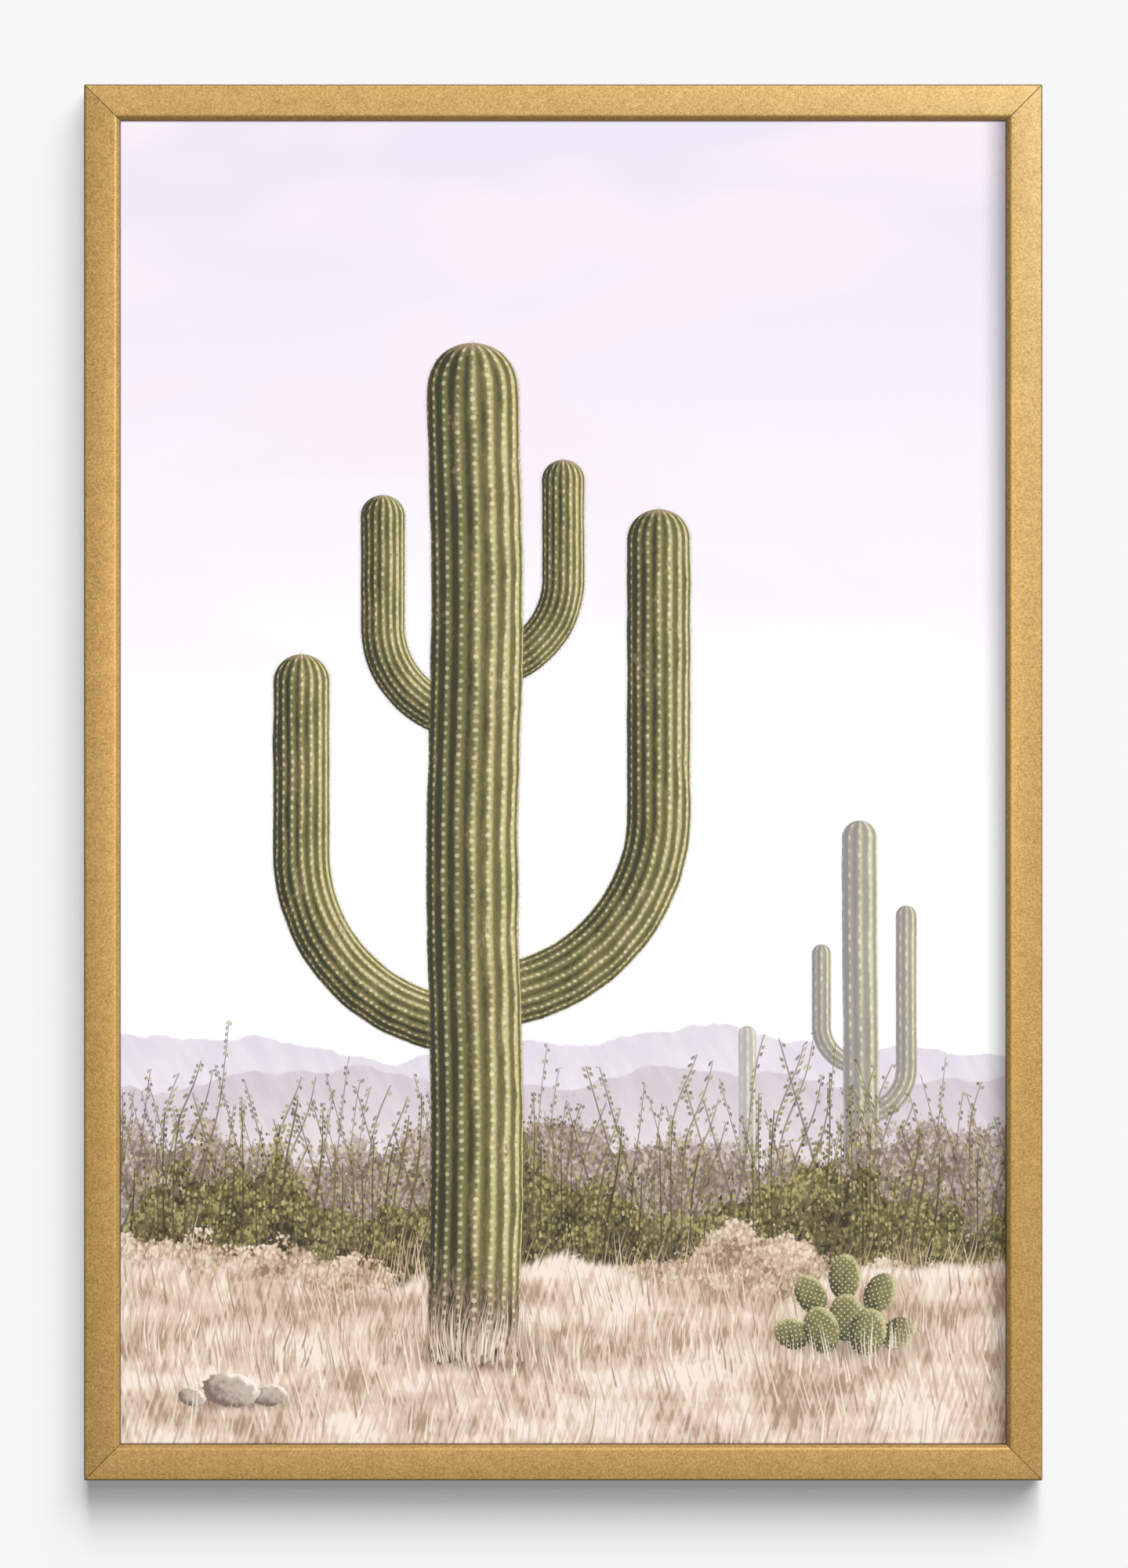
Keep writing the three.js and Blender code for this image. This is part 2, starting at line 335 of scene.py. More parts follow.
def post(name: str, radius: float, low: float, high: float, sides: int = 24) -> Workpiece:
    """A round bar along Y, centred on x = 0 and z = 0.

    Args:
        name: The bar's name.
        radius: Its radius.
        low: Where it starts along Y.
        high: Where it ends along Y.
        sides: How many sides it has.

    Returns:
        The bar in edit mode.
    """
    clear_bench()
    bpy.ops.mesh.primitive_circle_add(vertices=sides, radius=radius, fill_type="NGON")
    bar = Workpiece(name)
    bpy.ops.mesh.select_all(action="SELECT")
    bpy.ops.transform.rotate(value=QUARTER, orient_axis="X", center_override=(0, 0, 0))
    bpy.ops.transform.translate(value=(0, low, 0))
    bar.push(Vector((0, high - low, 0)))
    bar.close_up()
    return bar


def copy_to(master: bpy.types.Object, name: str, placement: Matrix) -> bpy.types.Object:
    """Copy a finished master with its own mesh, its place in the mesh.

    Args:
        master: The finished piece to copy.
        name: The copy's name.
        placement: Where the copy goes.

    Returns:
        The copy, its object at the origin.
    """
    twin = master.copy()
    twin.data = master.data.copy()
    twin.name = name
    twin.data.name = name
    twin.data.transform(placement)
    bpy.context.scene.collection.objects.link(twin)
    return twin


def put_away(master: bpy.types.Object) -> None:
    """Remove a master once its copies are made."""
    bpy.data.objects.remove(master)


def fit(piece: bpy.types.Object, body: str, stands_for: str) -> bpy.types.Object:
    """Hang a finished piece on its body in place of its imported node.

    Args:
        piece: The finished piece.
        body: The body it moves with.
        stands_for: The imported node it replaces.

    Returns:
        The same piece.
    """
    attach(piece, body)
    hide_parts(stands_for)
    log.info("%s: %d faces on %s", piece.name, len(piece.data.polygons), body)
    return piece


def dress(piece: bpy.types.Object, finishes: list[bpy.types.Material],
          tests: Iterable[Test] = ()) -> None:
    """Give a piece its finishes, face by face.

    Args:
        piece: The piece to dress.
        finishes: The materials. The first one covers what no test claims.
        tests: For each further material, which faces it covers.
    """
    piece.data.materials.clear()
    for finish in finishes:
        piece.data.materials.append(finish)
    for face in piece.data.polygons:
        face.material_index = 0
        for index, test in enumerate(tests, start=1):
            if test(face.center, face.normal):
                face.material_index = index


class Field:
    """A number, colour or place that varies over a surface, as a socket that operators act on."""

    def __init__(self, tree: "Sketch", socket: bpy.types.NodeSocket) -> None:
        """Wrap a socket.

        Args:
            tree: The finish the socket belongs to.
            socket: An output socket.
        """
        self.tree = tree
        self.socket = socket

    def _maths(self, operation: str, *values: "Value") -> "Field":
        """Add one Math node."""
        return self.tree.node("ShaderNodeMath", {"operation": operation}, dict(enumerate(values)))

    def __add__(self, other: "Value") -> "Field":
        """The sum."""
        return self._maths("ADD", self, other)

    __radd__ = __add__

    def __sub__(self, other: "Value") -> "Field":
        """The difference."""
        return self._maths("SUBTRACT", self, other)

    def __rsub__(self, other: "Value") -> "Field":
        """The difference, the other way round."""
        return self._maths("SUBTRACT", other, self)

    def __mul__(self, other: "Value") -> "Field":
        """The product."""
        return self._maths("MULTIPLY", self, other)

    __rmul__ = __mul__

    def __truediv__(self, other: "Value") -> "Field":
        """The quotient."""
        return self._maths("DIVIDE", self, other)

    def __abs__(self) -> "Field":
        """The size without its sign."""
        return self._maths("ABSOLUTE", self)

    def __lt__(self, other: "Value") -> "Field":
        """1 where this is less than the other."""
        return self._maths("LESS_THAN", self, other)

    def floor(self) -> "Field":
        """The whole number below."""
        return self._maths("FLOOR", self)

    def sine(self) -> "Field":
        """The sine of an angle in radians."""
        return self._maths("SINE", self)

    def arcsine(self) -> "Field":
        """The angle in radians whose sine this is."""
        return self._maths("ARCSINE", self)

    def root(self) -> "Field":
        """The square root, 0 below 0."""
        return self._maths("SQRT", self.most(0.0))

    def least(self, other: "Value") -> "Field":
        """The smaller of the two."""
        return self._maths("MINIMUM", self, other)

    def most(self, other: "Value") -> "Field":
        """The larger of the two."""
        return self._maths("MAXIMUM", self, other)

    def ramp(self, low: "Value", high: "Value") -> "Field":
        """Rise smoothly from 0 at one value to 1 at another, which may be the smaller one."""
        settings = {"interpolation_type": "SMOOTHSTEP"}
        return self.tree.node("ShaderNodeMapRange", settings, {0: self, 1: low, 2: high, 3: 0.0, 4: 1.0})

    def off_half(self) -> "Field":
        """How far this lies above or below a half."""
        return self - 0.5

    def other(self, name: str) -> "Field":
        """Another output of the same node."""
        return Field(self.tree, self.socket.node.outputs[name])


Value = Field | float


class Sketch:
    """A node tree that is written as expressions on fields."""

    def __init__(self, tree: bpy.types.NodeTree) -> None:
        """Take up a node tree."""
        self.nodes = tree.nodes
        self.links = tree.links

    def node(self, kind: str, settings: dict | None = None, inputs: dict | None = None,
             output: int | str = 0) -> Field:
        """Add any node.

        Args:
            kind: The node's type.
            settings: What is set on the node.
            inputs: Values or fields for its sockets, by name or number.
            output: Which output to give back.

        Returns:
            That output.
        """
        made = self.nodes.new(kind)
        for name, value in (settings or {}).items():
            setattr(made, name, value)
        for key, value in (inputs or {}).items():
            if isinstance(value, Field):
                self.links.new(value.socket, made.inputs[key])
            else:
                made.inputs[key].default_value = value
        return Field(self, made.outputs[output])

    def split(self, vector: Field) -> tuple[Field, Field, Field]:
        """The three parts of a vector or colour."""
        parts = self.node("ShaderNodeSeparateXYZ", inputs={0: vector})
        return parts, parts.other("Y"), parts.other("Z")

    def join(self, x: Value = 0.0, y: Value = 0.0, z: Value = 0.0) -> Field:
        """A vector from three numbers."""
        return self.node("ShaderNodeCombineXYZ", inputs={0: x, 1: y, 2: z})

    def scaled(self, vector: Field, x: float, y: float, z: float) -> Field:
        """A vector with each part times its own factor."""
        return self.node("ShaderNodeVectorMath", {"operation": "MULTIPLY"}, {0: vector, 1: (x, y, z)})

    def noise(self, vector: Field, scale: float, detail: float, rough: float = 0.5,
              flat: bool = False) -> Field:
        """Soft noise about 0.5.

        Args:
            vector: Where it is read.
            scale: Features per unit.
            detail: How many finer layers it has.
            rough: How strong the finer layers are.
            flat: Whether only the vector's first two parts count.

        Returns:
            The noise.
        """
        settings = {"noise_dimensions": "2D" if flat else "3D"}
        values = {"Vector": vector, "Scale": scale, "Detail": detail, "Roughness": rough}
        return self.node("ShaderNodeTexNoise", settings, values, "Fac")

    def chance(self, x: Value, y: Value, seed: float) -> Field:
        """A random number from 0 to 1 for each whole place, with three more in its Color output."""
        return self.node("ShaderNodeTexWhiteNoise", {"noise_dimensions": "3D"},
                         {"Vector": self.join(x, y, seed)}, "Value")

    def mix(self, share: Value, under: Field | Colour, over: Field | Colour) -> Field:
        """Lay one colour over another.

        Args:
            share: How much of the upper colour shows.
            under: The lower colour.
            over: The upper colour.

        Returns:
            The mixed colour.
        """
        return self.node("ShaderNodeMix", {"data_type": "RGBA"}, {0: share, 6: under, 7: over}, 2)

    def tint(self, colour: Field, level: Field) -> Field:
        """A colour made lighter or darker by a number."""
        return self.node("ShaderNodeVectorMath", {"operation": "SCALE"}, {0: colour, 3: level})


class FinishTree(Sketch):
    """A material that is written as expressions on fields."""

    def __init__(self, name: str, **plain: float | Colour) -> None:
        """Make the material with its plain values.

        Args:
            name: The material's name.
            **plain: Constant values of the shader's sockets, with _ for a space.
        """
        self.material = bpy.data.materials.new(name)
        self.material.use_nodes = True
        super().__init__(self.material.node_tree)
        self.shader = self.nodes["Principled BSDF"]
        for key, value in plain.items():
            self.shader.inputs[key.replace("_", " ")].default_value = value

    def set(self, socket: str, value: Field) -> None:
        """Feed a field into one of the shader's sockets."""
        self.links.new(value.socket, self.shader.inputs[socket])

    def place(self) -> Field:
        """The place on the surface, in the frame's own metres."""
        return self.node("ShaderNodeTexCoord", output="Object")

    def bump(self, height: Field, distance: float) -> None:
        """Give the surface a relief.

        Args:
            height: The relief from 0 to 1.
            distance: How deep it is in metres.
        """
        values = {"Height": height, "Distance": distance}
        self.set("Normal", self.node("ShaderNodeBump", None, values, "Normal"))


@dataclass(frozen=True)
class GoldFinish:
    """Satin gold paint of fine metal grains, matter on the flanks, with painted shade as dark lines along the
    outer arris and along the sight edge by the glass.
    """

    low: Vector
    high: Vector
    colour: Colour = (0.52, 0.305, 0.083, 1.0)
    worn: Colour = (0.66, 0.42, 0.15, 1.0)
    shade: Colour = (0.35, 0.19, 0.042, 1.0)
    # Colour of the painted shade lines along the outer arris and the sight edge.
    toned: Colour = (0.10, 0.05, 0.025, 1.0)
    metal: float = 0.55
    gloss: float = 0.38
    flank_gloss: float = 0.66
    gloss_play: Pair = (0.24, 0.1)
    coat: float = 0.12
    coat_gloss: float = 0.3
    grain: float = 0.62 * MM
    clump_scale: float = 0.4
    cloud_scale: float = 0.055
    tone_shares: Triple = (0.68, 0.22, 0.1)
    tone_reach: float = 0.12
    relief: float = 0.03 * MM
    relief_shares: Pair = (0.6, 0.4)
    # Where the painted shade lines lie and how dark they are: one on the outer arris, one at the sight edge.
    outer_line: Pair = (0.75 * MM, 0.35 * MM)
    outer_depth: Pair = (1.7 * MM, 1.3 * MM)
    outer_share: float = 0.9
    inner_line: Pair = (19.85 * MM, 20.15 * MM)
    inner_share: float = 0.6
    flank_line: Pair = (0.4 * MM, 0.1 * MM)
    flank_depth: Pair = (1.3 * MM, 2.6 * MM)

    def material(self) -> bpy.types.Material:
        """Build the finish.

        Returns:
            The material.
        """
        tree = FinishTree("gold_paint", Metallic=self.metal, Coat_Roughness=self.coat_gloss)
        place = tree.place()
        grains = tree.noise(place, 1 / self.grain, 2.0, 0.7)
        clumps = tree.noise(place, self.clump_scale / self.grain, 1.0)
        cloud = tree.noise(place, self.cloud_scale / self.grain, 2.0)
        by_grain, by_clump, by_cloud = self.tone_shares
        tone = by_grain * grains + by_clump * clumps + by_cloud * cloud
        paint = tree.mix(tone.ramp(0.5, 0.5 - self.tone_reach), self.colour, self.shade)
        paint = tree.mix(tone.ramp(0.5, 0.5 + self.tone_reach), paint, self.worn)
        across, depth, up = tree.split(place)
        middle = (self.low + self.high) / 2
        front = depth - self.low.y
        inward = (self.high.x - abs(across)).least(self.high.z - middle.z - abs(up - middle.z))
        # Painted shade: a dark line on the outer arris, where the rounded edge turns away from the light, and
        # one at the sight edge next to the glass.
        outer = inward.ramp(*self.outer_line) * front.ramp(*self.outer_depth)
        edge_shade = (outer * self.outer_share).most(inward.ramp(*self.inner_line) * self.inner_share)
        tree.set("Base Color", tree.mix(edge_shade, paint, self.toned))
        flank = inward.ramp(*self.flank_line) * front.ramp(*self.flank_depth)
        tree.set("Coat Weight", self.coat * (1 - flank))
        gloss = self.gloss + (self.flank_gloss - self.gloss) * flank
        with_grains, with_clumps = self.gloss_play
        tree.set("Roughness", gloss + with_grains * grains.off_half() + with_clumps * clumps.off_half())
        by_grain, by_clump = self.relief_shares
        tree.bump(by_grain * grains + by_clump * clumps, self.relief)
        return tree.material


@dataclass(frozen=True)
class TimberFinish:
    """Bare pale timber at the back of a rail, its grain along the rail."""

    along_x: bool
    pale: Colour = ink(212, 184, 146)
    dark: Colour = ink(164, 126, 88)
    pore: Colour = ink(134, 100, 68)
    rough: float = 0.78
    along: float = 9.0
    across: float = 900.0
    fibre_edge: Pair = (0.25, 0.8)
    pore_scale: float = 2.6
    pore_edge: Pair = (0.6, 0.72)
    pore_share: float = 0.5
    pore_depth: float = 0.6
    ring_scale: float = 0.045
    ring_count: float = 150
    ring_waver: float = 1.6
    ring_edge: Pair = (-0.2, 1.0)
    relief: float = 0.06 * MM

    def material(self) -> bpy.types.Material:
        """Build the finish.

        Returns:
            The material.
        """
        tree = FinishTree("bare_timber_x" if self.along_x else "bare_timber_z", Roughness=self.rough)
        scales = (self.along, self.across, self.across)
        grained = tree.scaled(tree.place(), *(scales if self.along_x else scales[::-1]))
        fibre = tree.noise(grained, 1.0, 4.0, 0.65)
        pores = tree.noise(grained, self.pore_scale, 1.0).ramp(*self.pore_edge)
        growth = self.ring_count * tree.noise(grained, self.ring_scale, 1.0) + self.ring_waver * fibre
        tone = 0.5 * fibre.ramp(*self.fibre_edge) + 0.5 * growth.sine().ramp(*self.ring_edge)
        wood = tree.mix(tone, self.pale, self.dark)
        tree.set("Base Color", tree.mix(pores * self.pore_share, wood, self.pore))
        tree.bump(fibre - self.pore_depth * pores, self.relief)
        return tree.material


@dataclass(frozen=True)
class HardboardFinish:
    """Brown hardboard: short pressed fibres in all directions, dark flecks and a faint mottle."""

    pale: Colour = ink(162, 126, 90)
    dark: Colour = ink(122, 88, 59)
    fleck: Colour = ink(88, 60, 40)
    rough: float = 0.84
    turns: tuple[float, ...] = (0.2, 0.75, 1.25, 1.8, 2.35, 2.9)
    strand: Pair = (420, 2300)
    strand_shift: float = 9
    pale_strand: Pair = (0.58, 0.76)
    dark_strand: Pair = (0.42, 0.24)
    mottle_scale: float = 30.0
    grain_scale: float = 2600.0
    fleck_scales: Triple = (1300.0, 900.0, 700.0)
    fleck_edge: Pair = (0.66, 0.74)
    fleck_share: float = 0.5
    tone_shares: Triple = (0.42, 0.7, 0.8)
    tone_edge: Pair = (0.05, 0.95)
    relief: float = 0.06 * MM

    def material(self) -> bpy.types.Material:
        """Build the finish.

        Returns:
            The material.
        """
        tree = FinishTree("hardboard", Roughness=self.rough)
        place = tree.place()
        across, _, up = tree.split(place)
        light, dark = 0.0, 0.0
        for turn in self.turns:
            along = across * math.cos(turn) + up * math.sin(turn)
            beside = up * math.cos(turn) - across * math.sin(turn)
            laid = tree.join(along * self.strand[0] + self.strand_shift * turn, beside * self.strand[1])
            strand = tree.noise(laid, 1.0, 1.0, flat=True)
            light = strand.ramp(*self.pale_strand).most(light)
            dark = strand.ramp(*self.dark_strand).most(dark)
        mottle = tree.noise(place, self.mottle_scale, 4.0)
        grain = tree.noise(place, self.grain_scale, 1.0)
        flecks = tree.noise(tree.scaled(place, *self.fleck_scales), 1.0, 1.0).ramp(*self.fleck_edge)
        by_strand, by_mottle, by_grain = self.tone_shares
        tone = 0.5 + by_strand * (light - dark) + by_mottle * mottle.off_half() + by_grain * grain.off_half()
        board = tree.mix(tone.ramp(*self.tone_edge), self.dark, self.pale)
        tree.set("Base Color", tree.mix(flecks * self.fleck_share, board, self.fleck))
        tree.bump(light - dark + grain, self.relief)
        return tree.material


@dataclass(frozen=True)
class PlatedSteelFinish:
    """Zinc-plated steel with fine rolling marks, a faint bloom and a few scuffs."""

    bright: Colour = (0.62, 0.63, 0.65, 1.0)
    bloom: Colour = (0.44, 0.44, 0.43, 1.0)
    rolling: Triple = (3400.0, 1200.0, 240.0)
    patch_scale: float = 210.0
    bloom_edge: Pair = (0.42, 0.7)
    scuffs: Triple = (500.0, 1500.0, 2600.0)
    scuff_edge: Pair = (0.70, 0.76)
    gloss: float = 0.22
    gloss_play: Triple = (0.24, 0.1, 0.1)
    relief: float = 0.02 * MM
    relief_shares: Triple = (0.5, 0.7, 0.3)

    def material(self) -> bpy.types.Material:
        """Build the finish.

        Returns:
            The material.
        """
        tree = FinishTree("plated_steel", Metallic=1.0)
        place = tree.place()
        rolled = tree.noise(tree.scaled(place, *self.rolling), 1.0, 2.0)
        patchy = tree.noise(place, self.patch_scale, 3.0, 0.6)
        scuff = tree.noise(tree.scaled(place, *self.scuffs), 1.0, 1.0).ramp(*self.scuff_edge)
        tree.set("Base Color", tree.mix(patchy.ramp(*self.bloom_edge), self.bright, self.bloom))
        by_patch, by_roll, by_scuff = self.gloss_play
        tree.set("Roughness", self.gloss + by_patch * patchy + by_roll * rolled + by_scuff * scuff)
        by_patch, by_roll, by_scuff = self.relief_shares
        tree.bump(by_roll * rolled + by_patch * patchy - by_scuff * scuff, self.relief)
        return tree.material


@dataclass(frozen=True)
class GlassFinish:
    """Clear picture glass, greener at its ground edges."""

    veil: float = 0.05
    face: Colour = (0.3, 0.34, 0.33, 1.0)
    edge: Colour = ink(150, 190, 178)
    chipped: Colour = ink(196, 220, 212)
    edge_cover: float = 0.8
    smear_scale: float = 7.0
    smear_edge: Pair = (0.45, 0.75)
    gloss: Pair = (0.02, 0.06)
    chip_scale: float = 1400.0
    edge_gloss: Pair = (0.3, 0.3)
    bend: float = 1.52

    def face_material(self, name: str, veil: float) -> bpy.types.Material:
        """A polished face.

        Args:
            name: The material's name.
            veil: How much of it shows.

        Returns:
            The material.
        """
        tree = FinishTree(name, Base_Color=self.face, Alpha=veil, IOR=self.bend, Specular_IOR_Level=1.0)
        smear = tree.noise(tree.place(), self.smear_scale, 2.0)
        least, more = self.gloss
        tree.set("Roughness", least + more * smear.ramp(*self.smear_edge))
        return tree.material

    def edge_material(self) -> bpy.types.Material:
        """The ground edges.

        Returns:
            The material.
        """
        tree = FinishTree("glass_edge", Alpha=self.edge_cover)
        chips = tree.noise(tree.place(), self.chip_scale, 2.0)
        tree.set("Base Color", tree.mix(chips, self.edge, self.chipped))
        least, more = self.edge_gloss
        tree.set("Roughness", least + more * chips)
        return tree.material


@dataclass(frozen=True)
class PaperFinish:
    """The bare back and edges of the sheet the picture is printed on."""

    white: Colour = ink(246, 244, 239)
    shade: Colour = ink(236, 233, 226)
    rough: float = 0.9
    pulp_scale: float = 600.0
    relief: float = 0.01 * MM

    def material(self) -> bpy.types.Material:
        """Build the finish.

        Returns:
            The material.
        """
        tree = FinishTree("bare_paper", Roughness=self.rough)
        pulp = tree.noise(tree.place(), self.pulp_scale, 3.0)
        tree.set("Base Color", tree.mix(pulp, self.white, self.shade))
        tree.bump(pulp, self.relief)
        return tree.material


@dataclass
class Rails:
    """The four mitred gold rails, with the slots for the corner nails cut in their backs."""

    low: Vector
    high: Vector
    width: float = 20.5 * MM
    rebate_width: float = 6 * MM
    rebate_depth: float = 18 * MM
    sight_edge: float = 19.75 * MM
    lip: float = 2.5 * MM
    lip_round: float = 1.1 * MM
    arris: float = 1.25 * MM
    edge_round: float = 0.35 * MM
    groove: Pair = (10.75 * MM, 13.25 * MM)
    groove_depth: float = 4.5 * MM
    mitre_gap: float = 0.15 * MM
    mitre_ease: float = 0.14 * MM
    mitre_slant: float = 0.6
    smooth: float = 28
    depth: float = field(init=False)
    middle: Vector = field(init=False)

    def __post_init__(self) -> None:
        """Take the depth and the middle from the outer box."""
        self.depth = -self.low.y
        self.middle = Vector((0, 0, (self.low.z + self.high.z) / 2))

    def reach(self, side: Side) -> float:
        """How far a side's outer edge lies from the middle."""
        return self.high.x if side.upright else self.high.z - self.middle.z

    def length(self, side: Side) -> float:
        """How long a side is outside."""
        return 2 * (self.high.z - self.middle.z) if side.upright else 2 * self.high.x

    def section(self, edge: float) -> list[Vector]:
        """The rail's sharp section, seen along X.

        Args:
            edge: The height of the outer edge.

        Returns:
            The corners, from the outer back corner round.
        """
        wall = self.width - self.rebate_width
        low, high = self.groove
        steps = [
            (0, 0), (wall, 0), (wall, low), (wall - self.groove_depth, low),
            (wall - self.groove_depth, high), (wall, high), (wall, self.rebate_depth),
            (self.width, self.rebate_depth), (self.width, self.sight_edge),
            (self.width - self.lip, self.depth), (0, self.depth),
        ]
        return [Vector((0, -out, edge - inward)) for inward, out in steps]

    def blank(self, name: str, side: Side) -> Workpiece:
        """A mitred rail in the top rail's attitude.

        Args:
            name: The piece's name.
            side: Which side it is for.

        Returns:
            The rail, its middle at x = 0.
        """
        edge, half = self.reach(side), self.length(side) / 2
        corners = self.section(edge)
        eased = (self.edge_round, 3)
        roundings = {8: eased, 9: (self.lip_round, 6), 10: (self.arris, 6), 0: eased, 1: eased}
        rail = Workpiece.outline(name, corners)
        for index, (radius, segments) in roundings.items():
            rail.pick(Pick.CORNERS, lambda place, _, at=corners[index]: (place - at).length < NEAR)
            rail.round_off(radius, segments, corners=True)
        bpy.ops.mesh.select_all(action="SELECT")
        bpy.ops.transform.translate(value=(-half, 0, 0))
        rail.push(Vector((2 * half, 0, 0)))
        rail.close_up()
        for end in (-1, 1):
            place = Vector((end * (half - self.mitre_gap), 0, edge))
            rail.slice(place, Vector((end, 0, -1)), drop=True)
        rail.close_up()
        rail.pick(Pick.FACES, lambda _, way: abs(way.x) > self.mitre_slant)
        bpy.ops.mesh.region_to_loop()
        rail.round_off(self.mitre_ease, 1)
        return rail

    def is_bare(self, side: Side, place: Vector, way: Vector) -> bool:
        """Whether a face of a rail is bare timber: of its back, rebate, groove or mitres.

        Args:
            side: The rail's side.
            place: The face's middle.
            way: The face's normal.

        Returns:
            Whether it is.
        """
        back_turn = side.turn.inverted()
        wall = self.reach(side) - (self.width - self.rebate_width)
        place, way = back_turn @ (place - self.middle), back_turn @ way
        behind = place.y > -self.edge_round and way.y > 0.3
        inside = place.z < wall + self.groove_depth + MM and place.y > -self.rebate_depth - 0.1 * MM
        recess = inside and (way.z < -0.5 or abs(way.y) > 0.5) and place.y < -self.edge_round
        return behind or recess or abs(way.x) > self.mitre_slant

    def build(self, nail_slots: Callable[[str], bpy.types.Object]) -> None:
        """Make, cut and dress the rails.

        Args:
            nail_slots: Gives the closed shape of all four nail slots.
        """
        gold = GoldFinish(self.low, self.high).material()
        for side in Side:
            rail = self.blank(f"gold_rail_{side.label}", side)
            clear_bench()
            rail.body.data.transform(Matrix.Translation(self.middle) @ side.turn)
            rail.carve(nail_slots(f"slots_{side.label}"))
            piece = rail.finish(smooth=self.smooth)
            timber = TimberFinish(not side.upright).material()
            dress(piece, [gold, timber], [lambda place, way: self.is_bare(side, place, way)])
            fit(piece, "frame", f"rail_{side.label}")


@dataclass
class CornerNails:
    """Bent steel strips driven across the mitres from the back, and the slots they sit in."""

    rails: Rails
    inset: float = 4.5 * MM
    leg: float = 9 * MM
    thickness: float = 0.8 * MM
    depth: float = 7 * MM
    sink: float = 0.25 * MM
    gap: float = 0.2 * MM
    overrun: float = 1 * MM
    ease: float = 0.12 * MM

    def strip(self, name: str, clearance: float, near: float, far: float) -> Workpiece:
        """The bent strip of the top right corner, the corner at the origin.

        Args:
            name: The shape's name.
            clearance: How much it is grown on all sides.
            near: Where it starts along Y.
            far: Where it ends along Y.

        Returns:
            The strip in edit mode.
        """
        outer = self.inset - clearance
        inner = self.inset + self.thickness + clearance
        reach = self.inset + self.leg + clearance
        plan = [
            (outer, outer), (reach, outer), (reach, inner),
            (inner, inner), (inner, reach), (outer, reach),
        ]
        strip = Workpiece.outline(name, [Vector((-x, near, -z)) for x, z in plan])
        strip.push(Vector((0, far - near, 0)))
        strip.close_up()
        return strip

    def places(self) -> dict[str, Matrix]:
        """Where each corner's strip goes, from the top right one.

        Returns:
            The placement of each corner by name.
        """
        half = self.rails.high.x, self.rails.high.z - self.rails.middle.z
        signs = {"top_right": (1, 1), "bottom_right": (1, -1), "bottom_left": (-1, -1), "top_left": (-1, 1)}
        return {
            name: Matrix.Translation(self.rails.middle + Vector((x * half[0], 0, z * half[1]))) @ side.turn
            for (name, (x, z)), side in zip(signs.items(), Side)
        }

    def slots(self, name: str) -> bpy.types.Object:
        """All four slots as one closed shape.

        Args:
            name: The shape's name.

        Returns:
            The shape, to be cut away.
        """
        far = -self.sink - self.depth - self.gap
        master = self.strip(name, self.gap, self.overrun, far).finish()
        cutters = [copy_to(master, f"{name}_{corner}", place) for corner, place in self.places().items()]
        put_away(master)
        bpy.ops.object.select_all(action="DESELECT")
        for cutter in cutters:
            cutter.select_set(True)
        bpy.context.view_layer.objects.active = cutters[0]
        bpy.ops.object.join()
        return cutters[0]

    def build(self, finish: bpy.types.Material) -> None:
        """Make and dress the strips.

        Args:
            finish: The steel.
        """
        strip = self.strip("corner_nail", 0, -self.sink, -self.sink - self.depth)
        strip.soften(self.ease)
        master = strip.finish()
        dress(master, [finish])
        for corner, place in self.places().items():
            nail = copy_to(master, f"bent_nail_{corner}", place)
            fit(nail, "frame", f"corner_nail_{corner}")
        put_away(master)


@dataclass
class Rivet:
    """A steel pop rivet: a domed head with the stub of its pin in the middle, and a shank."""

    head: float = 3.5 * MM
    rise: float = 1.5 * MM
    shank: float = 1.5 * MM
    bore: float = 0.85 * MM
    bore_depth: float = 0.55 * MM
    stub: float = 0.75
    stub_rise: Pair = (0.12 * MM, 0.18 * MM)
    edge: float = 0.15 * MM
    steps: int = 32
    crown_steps: int = 7
    smooth: float = 40

    def build(self, name: str, shank_length: float) -> bpy.types.Object:
        """Spin the rivet about Y, its head's underside at y = 0.

        Args:
            name: The rivet's name.
            shank_length: How far the shank reaches below the head.

        Returns:
            The finished rivet.
        """
        rim = self.rise / 3
        floor = self.rise - self.bore_depth
        half = [(0, -shank_length), (self.shank, -shank_length), (self.shank, 0), (self.head - self.edge, 0)]
        crown = math.asin(1 - self.bore / self.head)
        for step in range(self.crown_steps + 1):
            angle = crown * step / self.crown_steps
            height = rim + (self.rise - rim) * math.sin(angle / crown * QUARTER)
            half.append((self.head * (1 - math.sin(angle)), height))
        stub_edge, stub_top = self.stub_rise
        half += [(self.bore, floor), (self.bore * self.stub, floor + stub_edge), (0, floor + stub_top)]
        rivet = Workpiece.outline(name, [Vector((x, y, 0)) for x, y in half], fill=False)
        rivet.swing(Vector(), Vector((0, 1, 0)), 2 * math.pi, self.steps)
        rivet.close_up()
        return rivet.finish(smooth=self.smooth)


def joint_places(prefix: str) -> dict[str, Vector]:
    """Where the joints of one kind lie.

    Args:
        prefix: What their names start with.

    Returns:
        Each joint's place by the rest of its name.
    """
    joints = [joint for joint in frame["joints"] if joint["name"].startswith(prefix)]
    return {joint["name"].removeprefix(prefix): Vector(joint["pos_m"]) for joint in joints}


